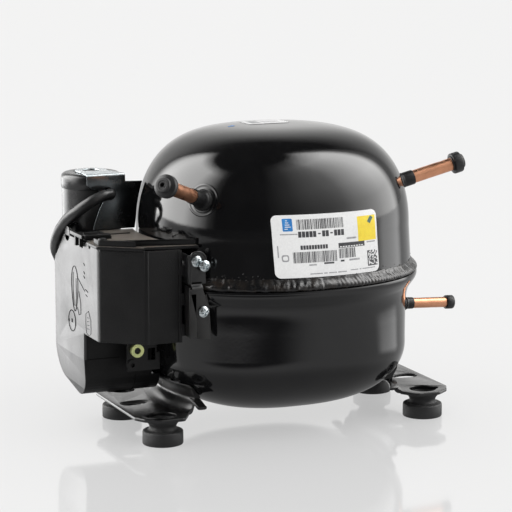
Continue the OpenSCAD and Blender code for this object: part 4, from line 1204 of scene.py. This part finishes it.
# Front wall and floor, outlines in (x, y)
front_wall = fillet([(-121.3, -27.0), (-121.3, -30.0), (-99.9, -46.3), (-99.3, -46.1),
                     (-98.0, -46.8), (-97.4, -47.6), (-77, -47.6)],
                    [0, 2.2, 0.6, 0.5, 0.5, 0.5, 0.4], 5)
front_wall += [(-77, -45.8), (-97.7, -45.3), (-119.6, -28.8), (-119.6, -27.0)]
cover.add(*prism(front_wall, COVER_Z0, COVER_Z1, "z", 0.35))
box_floor = fillet([(-120.9, -29.4), (-98, -46.6), (-78, -46.6), (-78, -4.6), (-120.9, -4.6)],
                   [1, 1, 0, 0, 0], 4)
cover.add(*prism(box_floor, 62.25, 64, "z", 0.2))
# Upright strip on the +x end of the front wall and its three teeth
rounded_box(cover, (-79.6, -48.3, COVER_Z0), (-77.6, -45.9, 116.4), 0.3, 0.25)
for z0, z1 in ((66, 73), (84, 91), (101, 107)):
    rounded_box(cover, (-78.2, -48.6, z0), (-75.9, -46.6, z1), 0.3, 0.3)
cover_mesh = cover.skin("box_cover", LIT_FACE_PLASTIC, slot="box_plastic", sharp=35).data
cover_mesh.materials.append(PLASTIC)


def bend_cover():
    """Cut the face along its bend lines, then lean its foot and ease its front edge back."""
    bm = bmesh.new()
    bm.from_mesh(cover_mesh)
    for place, normal in (((0, 0, BEND_Z * MM), (0, 0, 1)), ((0, EASE_Y * MM, 0), (0, 1, 0)),
                          ((0, -28.8 * MM, 0), (0, 1, 0))):
        bmesh.ops.bisect_plane(bm, geom=bm.verts[:] + bm.edges[:] + bm.faces[:], dist=1e-7,
                               plane_co=place, plane_no=normal)
    for edge in bm.edges:
        if all(v.co.x < -121.5 * MM and (abs(v.co.z - BEND_Z * MM) < 1e-6
                                         or abs(v.co.y - EASE_Y * MM) < 1e-6)
               for v in edge.verts):
            edge.smooth = False
    for v in bm.verts:
        x, y, z = v.co / MM
        if z < BEND_Z and x < -120:
            v.co.x += BEND_SLOPE * (BEND_Z - z) * (1 if x < -121 else 0.6) * MM
        if z > 62 and x < -121.5 and y < EASE_Y:
            v.co.x += 0.9 * min(1.0, (EASE_Y - y) / 2.6) ** 2 * MM
    bm.to_mesh(cover_mesh)
    bm.free()


bend_cover()
# The cover's face keeps the lighter copy, painted light; the other sides take the textured
# plastic
for polygon in cover_mesh.polygons:
    centre = polygon.center / MM
    if centre.x > -120.9 or centre.y < -30.6:
        polygon.material_index = 1

# Line marks on the cover face, dark strips that stand for painted shade in the moulded lines:
# points (y, z), line radius, closed
egg = [(12 + 5.6 * math.cos(t) * (1 + 0.25 * math.sin(t)), 86.5 + 13.5 * math.sin(t))
       for t in turn(48)]
FACE_MARKS = [
    (egg, 0.24, True),
    ([(9.4, 93), (9.2, 82), (10.6, 76)], 0.2, False),
    ([(14.6, 96), (15.0, 86), (13.4, 76)], 0.2, False),
    ([(4.6, 86), (1.6, 80), (1.4, 73), (4.6, 72), (7.6, 76)], 0.22, False),
    ([(7.6, 94.6), (-6.2, 88.0)], 0.2, False),
    ([(-7.6, 89.4), (-11.6, 88.4)], 0.26, False),
    ([(-7.9, 86.4), (-10.6, 85.6)], 0.22, False),
    *(([(-4.6, z), (-6.4, z - 1.2)], 0.24, False) for z in (104.5, 99.5, 97.0)),
    ([(-7.5, 75), (-12.4, 77.4), (-16.2, 72), (-16.2, 64.5), (-12.6, 62.8), (-8.2, 63.8),
      (-7.2, 69)], 0.16, True),
    *(([(-9.6, z), (-13.6, z + 0.5)], 0.13, False) for z in (66.4, 68.6, 70.8, 73.0)),
    (circle(17.6, 66.2, 6.3, 48), 0.26, True),
]
marks = Piece()
for points, radius, closed in FACE_MARKS:
    path = [(FACE_X - 0.03 + BEND_SLOPE * max(0, BEND_Z - z), y, z) for y, z in points]
    marks.add(*tube(path, radius, 8, closed))
marks.add(*prism([(16.6, 65.2), (18.8, 65.2), (18.8, 67.4), (16.6, 67.4)], -122.06, -121.9, "x"))
marks.make("cover_face_marks", RECESS_SHADE, slot="box_plastic", sharp=40)


def beside_shell(y):
    """Point 0.6 outside the shell's widest outline on its -x side."""
    a, b = SHELL_X + 0.6, SHELL_Y + 0.6
    return -a * (1 - min(1, abs(y) / b) ** SHELL_POWER) ** (1 / SHELL_POWER), y


lid = Piece()
lid_outline = fillet([(-119.6, 21), (-119.6, -13), (-123.2, -13), (-123.2, -30.8),
                      (-98.8, -49)], [0, 0.4, 0.8, 2.4, 1.6], 5)
lid_outline += [beside_shell(y) for y in np.linspace(-49, 21, 26)]
lid.add(*prism(lid_outline, 116.72, 118.6, "z", 0.4))
# Upstand along the front edge, and a round post at its corner
upstand = (fillet([(-121.6, -22), (-121.6, -29.8), (-98.2, -47.2)], [0, 2.2, 1.4], 5)
           + [beside_shell(-47.2), beside_shell(-45.8)]
           + fillet([(-97.8, -45.8), (-120.2, -29.2), (-120.2, -22)], [1.2, 1.8, 0], 4))
lid.add(*prism(upstand, 118.5, 122.0, "z", 0.3))
lid.add(*lathe((-118.6, -28.4, 118.5), (0, 0, 1),
               [(0, 2.6), (3.6, 2.6), (4.1, 2.4), (4.3, 2.0), (4.3, 0.02)], 32))
rounded_box(lid, (-112, -24, 118.4), (-92, -23, 119.2), 0.2, 0.15)
rounded_box(lid, (-112, 4, 118.4), (-90, 5, 119.2), 0.2, 0.15)
lid_mesh = lid.skin("box_lid", SMOOTH_PLASTIC, slot="box_plastic", sharp=35).data
lid_mesh.materials.append(LID_SHEEN_PLASTIC)
# The lid's top faces take the copy with the painted sheen
for polygon in lid_mesh.polygons:
    if polygon.normal.z > 0.9 and polygon.center.z / MM < 118.9:
        polygon.material_index = 1

# Blocks of the lid clip: low corner, high corner, corner radius, edge
CLIP_BOXES = [
    ((-122.9, -9, 118.64), (-106, 12, 120.2), 0.5, 0.3),
    ((-124.6, -9, 119.4), (-122.7, 12, 121.6), 0.4, 0.3),
    ((-122.9, -10.4, 120.0), (-107, -6, 121.8), 0.5, 0.35),
    ((-124.6, -5.5, 114.4), (-122.2, -4, 119.8), 0.3, 0.25),
    ((-124.6, 2, 114), (-122.2, 4, 119.8), 0.3, 0.25),
    ((-119, -3, 120.1), (-109, -1.6, 120.7), 0.2, 0.15),
    ((-119, 3, 120.1), (-109, 4.4, 120.7), 0.2, 0.15),
]
clip = Piece()
for row in CLIP_BOXES:
    rounded_box(clip, *row)
clip.skin("lid_clip", SMOOTH_PLASTIC, slot="box_plastic", sharp=35)

# Seam lines on the drum-shaped lower housing, dark strips that stand for painted shade in the
# seams
seams = Piece()
seams.add(*tube([(x, -2.88, 46.2) for x in np.linspace(-119.8, -99.6, 8)], 0.28, 8))
seams.add(*tube([(-90.0, y, z) for y, z in arc(9.5, 35.6, 12.38, sweep(184, 262, 20))], 0.22, 8))
seams.make("housing_seams", RECESS_SHADE, slot="box_plastic", sharp=40)

# ---------------------------------------------------------------- strap and screws
# Screw centres: x, z
UPPER_SCREW, SMALL_SCREW, LOWER_SCREW = (-67.4, 107.9), (-71.3, 110.3), (-67.9, 81.2)
strap = Piece()
# Upper and lower plates, outlines in (x, z)
plate(strap, fillet([(-74.8, 96.9), (-65.3, 96.9), (-65.3, 111.4), (-67, 114.6),
                     (-72.4, 115.6), (-74.8, 113)], [0.3, 0.3, 2.5, 2.5, 2.5, 2]),
      [circle(*UPPER_SCREW, 1.9, 28), circle(*SMALL_SCREW, 1.6, 28)], -54.6, -53.4, "y", 0.3)
plate(strap, fillet([(-76.4, 94.6), (-68.2, 94.2), (-66.4, 90), (-64.6, 82), (-63.2, 64.2),
                     (-71.8, 65.2), (-72.4, 78)], [1.2, 1.2, 3, 6, 0.8, 0.8, 4]),
      [circle(*LOWER_SCREW, 1.9, 28)], -56.8, -55.6, "y", 0.3)
# Jogged step between the plates: y, z
STEP = [(-53.4, 98.2), (-53.4, 96.4), (-54.6, 95.2), (-55.6, 94.3), (-55.8, 93.2), (-56.8, 93.2),
        (-56.75, 94.9), (-56.2, 95.6), (-55.2, 96.3), (-54.6, 97.2), (-54.6, 98.2)]
strap.add(*loft([[(x, y, z) for y, z in STEP] for x in (-74.6, -68.0)]))
# Side flanges and rolled rims
rounded_box(strap, (-76.2, -54.2, 97), (-74.8, -43, 114), 0.4, 0.4)
rounded_box(strap, (-75.8, -55.3, 66), (-74.6, -46.6, 95.3), 0.4, 0.4)
rounded_box(strap, (-76.4, -56.8, 66), (-71.8, -55.2, 92), 0.5, 0.4)
strap.add(*tube([(-74.6, -54.0, z) for z in np.linspace(97, 113.5, 12)], 0.75, 10))
strap.add(*tube([(-66.2, -56.2, 91), (-64.6, -56.2, 82), (-63.5, -56.2, 66)], 0.66, 10))
strap.add(*tube(smooth_curve([(-74.4, -54.1, 112.6), (-73.6, -54.3, 114.6),
                              (-70.6, -54.4, 115.6), (-67.6, -54.3, 114.8),
                              (-65.6, -54.2, 112.2), (-65.2, -54.1, 108)], 6), 0.7, 10))
strap.skin("box_strap", SATIN_PAINT, slot="bracket_paint", sharp=40)

HEAD_RADIUS = 3.25


def pan_screw(piece, place, y, length, angle):
    """Domed screw whose head, with a cross recess turned by `angle`, faces -y."""
    x, z = place

    def limit(value):
        return max(0.0, min(1.0, value))

    def height(px, pz):
        r = math.hypot(px, pz)
        a = px * math.cos(angle) + pz * math.sin(angle)
        b = -px * math.sin(angle) + pz * math.cos(angle)
        depth = limit((1.1 - r) / 0.4)
        for u, w in ((a, b), (b, a)):
            depth = max(depth, limit((0.62 - abs(u)) / 0.22) * limit((2.1 - abs(w)) / 0.35))
        return math.sqrt(max(0, 4.85 ** 2 - r * r)) - 3.6 - 1.0 * depth

    rows = [[(x + px, y - height(px, pz), z + pz) for px, pz in circle(0, 0, r, 96)]
            for r in (0.02 + HEAD_RADIUS * (i / 26) for i in range(27))]
    for r, depth in ((HEAD_RADIUS, 0.3), (HEAD_RADIUS, 1.2), (HEAD_RADIUS - 0.15, 1.3),
                     (1.5, 1.3), (1.5, length), (0.02, length)):
        rows.append([(px, y + depth, pz) for px, pz in circle(x, z, r, 96)])
    piece.add(*loft(rows))


screws = Piece()
pan_screw(screws, UPPER_SCREW, y=-58.5, length=6, angle=0.5)
pan_screw(screws, SMALL_SCREW, y=-55.95, length=5, angle=1.1)
pan_screw(screws, LOWER_SCREW, y=-58.2, length=4.4, angle=0.25)
screws.add(*lathe((-67.4, -57.2, 107.9), (0, 1, 0), [(0, 1.28), (2.6, 1.28)], 32))
screws.skin("strap_screws", ZINC, slot="zinc_steel", sharp=32)

# ---------------------------------------------------------------- capacitor, clip, sleeve
CAPACITOR_X, CAPACITOR_Y = -101.5, 39.6
can_ripple = ripple(0.07, 1.2, 1 / 9)
top_ripple = ripple(0.10, 1.5, 1 / 4)


def capacitor_part(node, profile, wobble):
    piece = Piece()
    piece.add(*lathe((CAPACITOR_X, CAPACITOR_Y, 0), (0, 0, 1), profile, 96, wobble=wobble))
    piece.skin(node, CAPACITOR, slot="capacitor_plastic", sharp=40)


capacitor_part("run_capacitor", [
    (103.4, 0.02), (103.4, 16.6), (103.8, 17.3), (104.8, 17.6), (118, 17.62), (130, 17.58),
    (142.35, 17.6), (142.38, 0.02)], lambda t, s: can_ripple(t, s) if 105 < s < 142 else 0)
capacitor_part("capacitor_cap", [
    (142.42, 0.02), (142.42, 17.7), (142.8, 18.0), (146, 18.04), (148.6, 18.0), (149.7, 17.75),
    (150.5, 17.2), (151.1, 16.3), (151.4, 15.2), (151.42, 13), (151.4, 10.5), (151.1, 10.1),
    (151.1, 4.0), (151.45, 3.6), (151.9, 3.2), (151.9, 0.02)],
    lambda t, s: top_ripple(t, s) if s < 150 else 0)

holder = Piece()
# Upright leaf (x, z), with both sides curving in
upright = [(-111.1, 151.6), (-87.2, 151.6), (-87.0, 147.6)]
upright += smooth_curve([(-76.3, 147.2), (-78.3, 140), (-79.8, 132), (-80.6, 124),
                         (-81.4, 119.2)], 6)
upright += smooth_curve([(-107.4, 119.2), (-106.2, 124), (-103.6, 131), (-101.0, 136.2),
                         (-101.4, 139), (-104, 141.8), (-108.2, 143.6), (-111.1, 146.2)], 6)
plate(holder, upright, [], 19.2, 20.2, "y", 0.28)
# Rounded bend over to the top leaf: y, z
bend = [(20.2 - 1.0 * math.cos(t), 151.45 + 1.0 * math.sin(t))
        for t in (math.pi / 2 * i / 8 for i in range(9))]
bend += [(21.2, 152.45), (21.2, 151.45), (20.25, 151.4)]
holder.add(*loft([[(x, y, z) for y, z in bend] for x in (-111.0, -99, -87.2)]))
# Top leaf (x, y), ending in a ring over the capacitor
top_leaf = [(-110.9, 20.4), (-87.2, 20.4)]
top_leaf += smooth_curve([(-87.6, 22), (-90.0, 28), (-92.6, 33)], 4)
top_leaf += arc(CAPACITOR_X, CAPACITOR_Y, 9.6, sweep(-28, 208, 50))
top_leaf += smooth_curve([(-110.3, 33), (-110.9, 28), (-111, 22)], 4)
plate(holder, top_leaf, [circle(CAPACITOR_X, CAPACITOR_Y, 5.0, 40)], 151.45, 152.45, "z", 0.3)
holder_mesh = holder.skin("capacitor_clip", ZINC_PAINTED_SHADE, slot="zinc_steel", sharp=35).data
holder_mesh.materials.append(ZINC)
# The top leaf and bend keep the plain zinc; the upright leaf takes the darker copy, painted
# shade
for polygon in holder_mesh.polygons:
    if polygon.center.z / MM > 151.0:
        polygon.material_index = 1

SLEEVE_PATH = [
    (-97.4, 17.4, 140.6), (-98.6, 15.2, 140.6), (-104, 12.6, 140.4), (-112, 12.6, 136.8),
    (-118.6, 17.6, 131), (-121.2, 25.2, 126.3), (-122.5, 35.8, 118.6), (-122.6, 42, 112.9),
    (-121.8, 47.4, 108.4), (-120.2, 52.4, 103.6), (-118, 54, 98.6), (-116, 52.6, 94.1),
]
sleeve = Piece()
sleeve.add(*tube(smooth_curve(SLEEVE_PATH, 12),
                 lambda u: 3.3 + 0.04 * math.sin(u * 31) + 0.03 * math.sin(u * 83), 28))
sleeve.skin("cable_sleeve", VINYL, slot="sleeve_vinyl", sharp=50)

# ---------------------------------------------------------------- parts that flex
# The springs and the discharge loop bend between the shell and the pump.
SPRING_TURNS, SPRING_STEPS = 5, 200
springs = Piece()
for x in (-50, 26):
    for y in (-32, 32):
        coil = []
        for i in range(SPRING_STEPS + 1):
            t = 2 * math.pi * SPRING_TURNS * i / SPRING_STEPS
            coil.append((x + 6.1 * math.cos(t), y + 6.1 * math.sin(t),
                         32.85 + 13.3 * (i / SPRING_STEPS)))
        springs.add(*tube(coil, 0.8, 12))
flexible = springs.make("suspension_springs_skin", SPRING, body=None, slot="spring_steel",
                        sharp=50)
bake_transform(flexible)
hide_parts("suspension_springs")

LOOP_PATH = [(52.6, 6, 123.45), (52.6, 6, 112.5), (54, 12, 106), (56, 30, 98), (44, 44, 90),
             (50, 40, 80), (63, 18, 72), (66, -8, 67), (68, -20, 67.9), (73.6, -20, 67.93)]
loop = Piece()
loop.add(*tube(smooth_curve(LOOP_PATH, 12), 1.7, 16))
flexible = loop.make("discharge_loop_skin", LOOP_COPPER, body=None, slot="coppered_steel",
                     sharp=50)
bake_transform(flexible)
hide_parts("discharge_loop")

# ---------------------------------------------------------------- pieces kept from the CAD
cad_material = {node: entry for entry, nodes in CAD_MATERIALS for node in nodes.split()}
for node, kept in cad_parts.items():
    slots = kept.data.materials
    if not slots:
        slots.append(cad_material[node])
    for i in range(len(slots)):
        slots[i] = cad_material[node]


# ---------------------------------------------------------------- floor
def floor_material():
    """White gloss sheet; in reflections some parts show painted shade and others glow with
    painted light.
    """
    made = bpy.data.materials.new("floor_gloss")
    g = Graph(made)
    ahead_x, ahead_y = -0.3941, -0.9191    # flat direction towards the camera
    geometry = g.node("NewGeometry")
    place = g.node("SeparateXYZ", {0: geometry.outputs["Position"]}).outputs
    ahead, across = g.heading(place[0], place[1], ahead_x, ahead_y)
    azimuth = g.azimuth(ahead, across)
    # Painted shade seen only in reflections: a patch in front of the object, the far front, and
    # beneath the object (metres)
    near_painted_shade = g.times(g.window(ahead, 0.17, 0.25, 0.44, 0.31),
                        g.window(across, -0.32, -0.12, 0.20, 0.08))
    far_painted_shade = g.times(g.step(ahead, 0.74, 0.86), g.window(azimuth, -70, -52, 40, 22))
    distance = g.math("SQRT", g.plus(g.times(ahead, ahead), g.times(across, across)), 0.0)
    painted_shadow_beneath = g.times(g.step(distance, 0.17, 0.10), 0.45)
    dark = g.node("Clamp", {0: g.plus(g.plus(near_painted_shade, far_painted_shade), painted_shadow_beneath)}).outputs[0]
    # Painted light seen only in reflections: the sheet glows strongly on the left and somewhat
    # on the right, at grazing angles
    view = g.node("SeparateXYZ", {0: geometry.outputs["Incoming"]}).outputs
    view_ahead, view_across = g.heading(view[0], view[1], -ahead_x, -ahead_y)
    view_azimuth = g.azimuth(view_ahead, view_across)
    grazing = g.plus(g.times(g.step(view[2], 0.33, 0.17), 0.68),
                     g.times(g.step(view[2], 0.50, 0.30), 0.32))
    painted_light_left = g.times(g.window(view_azimuth, -160, -142, -92, -116), grazing)
    painted_light_right = g.times(g.window(view_azimuth, 88, 100, 132, 120),
                        g.step(view[2], 0.30, 0.12))
    painted_glow = g.plus(g.plus(g.times(painted_light_left, 6.0), g.times(painted_light_right, 3.2)), 0.66)
    # The sheet is glossier within a band of view directions
    opposite = g.azimuth(g.times(view_ahead, -1.0), g.times(view_across, -1.0))
    gloss_band = g.step(g.math("ABSOLUTE", opposite, 0.0), 44, 24)
    diffuse = g.shader("BsdfDiffuse", (0.80, 0.80, 0.80))
    white = g.mix_shader(0.60, diffuse, g.shader("Emission", (1, 1, 1), 0.93))
    direct = g.mix_shader(g.plus(g.times(gloss_band, 0.17), 0.03), white,
                          g.shader("BsdfGlossy", (1, 1, 1), 0.07))
    # Reflections of the sheet glow with the painted light
    reflected = g.mix_shader(0.35, g.shader("Emission", (1, 1, 1), painted_glow), diffuse)
    is_glossy = g.node("LightPath").outputs["Is Glossy Ray"]
    seen = g.mix_shader(is_glossy, direct, reflected)
    # A near-black sheet mixed in for reflections over the painted shade areas
    painted_shade_sheet = g.shader("BsdfDiffuse", (0.06, 0.06, 0.06))
    painted_shade_amount = g.times(g.times(dark, is_glossy), 0.97)
    g.node("OutputMaterial", {0: g.mix_shader(painted_shade_amount, seen, painted_shade_sheet)})
    return made


floor_mesh = bpy.data.meshes.new("floor")
floor_mesh.from_pydata([(-15, -15, 0), (15, -15, 0), (15, 15, 0), (-15, 15, 0)], [],
                       [(0, 1, 2, 3)])
floor = bpy.data.objects.new("floor", floor_mesh)
floor_mesh.materials.append(floor_material())
bpy.context.scene.collection.objects.link(floor)

# ---------------------------------------------------------------- world, light, camera
CAMERA_BACK = (-0.38788, -0.90446, 0.17748)    # direction from the object to the camera


def build_world():
    """Even light for most rays; soft panels seen only in reflections."""
    world = bpy.data.worlds.new("studio")
    bpy.context.scene.world = world
    g = Graph(world)
    # Guards against builds where the Cycles world settings are missing
    try:
        world.cycles.sampling_method = "NONE"
    except Exception:
        pass

    def ramp(source, stops):
        """Piecewise-linear value over (degrees, value) stops."""
        total = None
        for (x0, y0), (x1, y1) in zip(stops, stops[1:]):
            part = g.map_range(source, x0, x1, 0.0, y1 - y0)
            total = part if total is None else g.plus(total, part)
        return g.plus(total, stops[0][1])

    generated = g.node("TexCoord").outputs["Generated"]
    x, y, z = g.node("SeparateXYZ", {0: generated}).outputs
    # Azimuth is 0 towards the camera and grows to its right
    azimuth = g.azimuth(*g.heading(x, y, *Vector(CAMERA_BACK[:2]).normalized()))
    elevation = g.times(g.math("ARCSINE", z), 180 / math.pi)
    left = g.times(
        ramp(azimuth, [(-180, 0), (-138, 0.1), (-128, 6.4), (-120, 7.8), (-76, 7.8), (-60, 3.4),
                       (-46, 0.4), (-38, 0.0)]),
        ramp(elevation, [(-12, 0), (-1, 1), (52, 1), (62, 0)]))
    right = g.times(
        ramp(azimuth, [(8, 0), (30, 0.4), (50, 1.25), (62, 2.1), (72, 4.0), (90, 6.6),
                       (104, 8.4), (120, 8.4), (130, 0.8), (138, 0.0)]),
        ramp(elevation, [(-14, 0.45), (-4, 0.55), (14, 0.58), (32, 0.95), (62, 1.0),
                         (76, 0.0)]))
    back = g.times(ramp(g.math("ABSOLUTE", azimuth), [(130, 0), (144, 0.8), (180, 0.95)]),
                   ramp(elevation, [(-20, 1), (10, 1), (34, 0.62), (52, 0.0)]))
    panels = g.plus(g.plus(left, right), g.plus(back, 0.05))
    rays = g.node("LightPath").outputs
    sky = g.mix_shader(rays["Is Glossy Ray"], g.shader("Background", (1, 1, 1), 0.98),
                       g.shader("Background", (1.0, 0.995, 0.985), panels))
    sky = g.mix_shader(rays["Is Camera Ray"], sky, g.shader("Background", (1, 1, 1), 0.925))
    g.node("OutputWorld", {0: sky})


build_world()

lamp = bpy.data.lights.new("key_soft", "AREA")
lamp.shape = "RECTANGLE"
lamp.size = lamp.size_y = 1.2
lamp.energy = 3.0
key = bpy.data.objects.new("key_soft", lamp)
bpy.context.scene.collection.objects.link(key)
key.location = (0.9, -1.1, 1.5)
aim = Vector((0, 0, 0.08)) - Vector((0.9, -1.1, 1.5))
key.rotation_euler = aim.to_track_quat("-Z", "Y").to_euler()
key.visible_camera = False
key.visible_glossy = False

lens = bpy.data.cameras.new("cam")
camera = bpy.data.objects.new("cam", lens)
bpy.context.scene.collection.objects.link(camera)
lens.sensor_width = 36
lens.lens = 161.26171875
lens.clip_start = 0.05
lens.clip_end = 60
backward = Vector(CAMERA_BACK).normalized()
rightward = Vector((0, 0, 1)).cross(backward).normalized()
upward = backward.cross(rightward)
place = Vector((-0.54733, -1.25102, 0.34555))
camera.matrix_world = Matrix((*zip(rightward, upward, backward, place), (0, 0, 0, 1)))
bpy.context.scene.camera = camera
view = bpy.context.scene.view_settings
view.view_transform = "Standard"
view.look = "None"
view.exposure = 0.0
view.gamma = 1.0
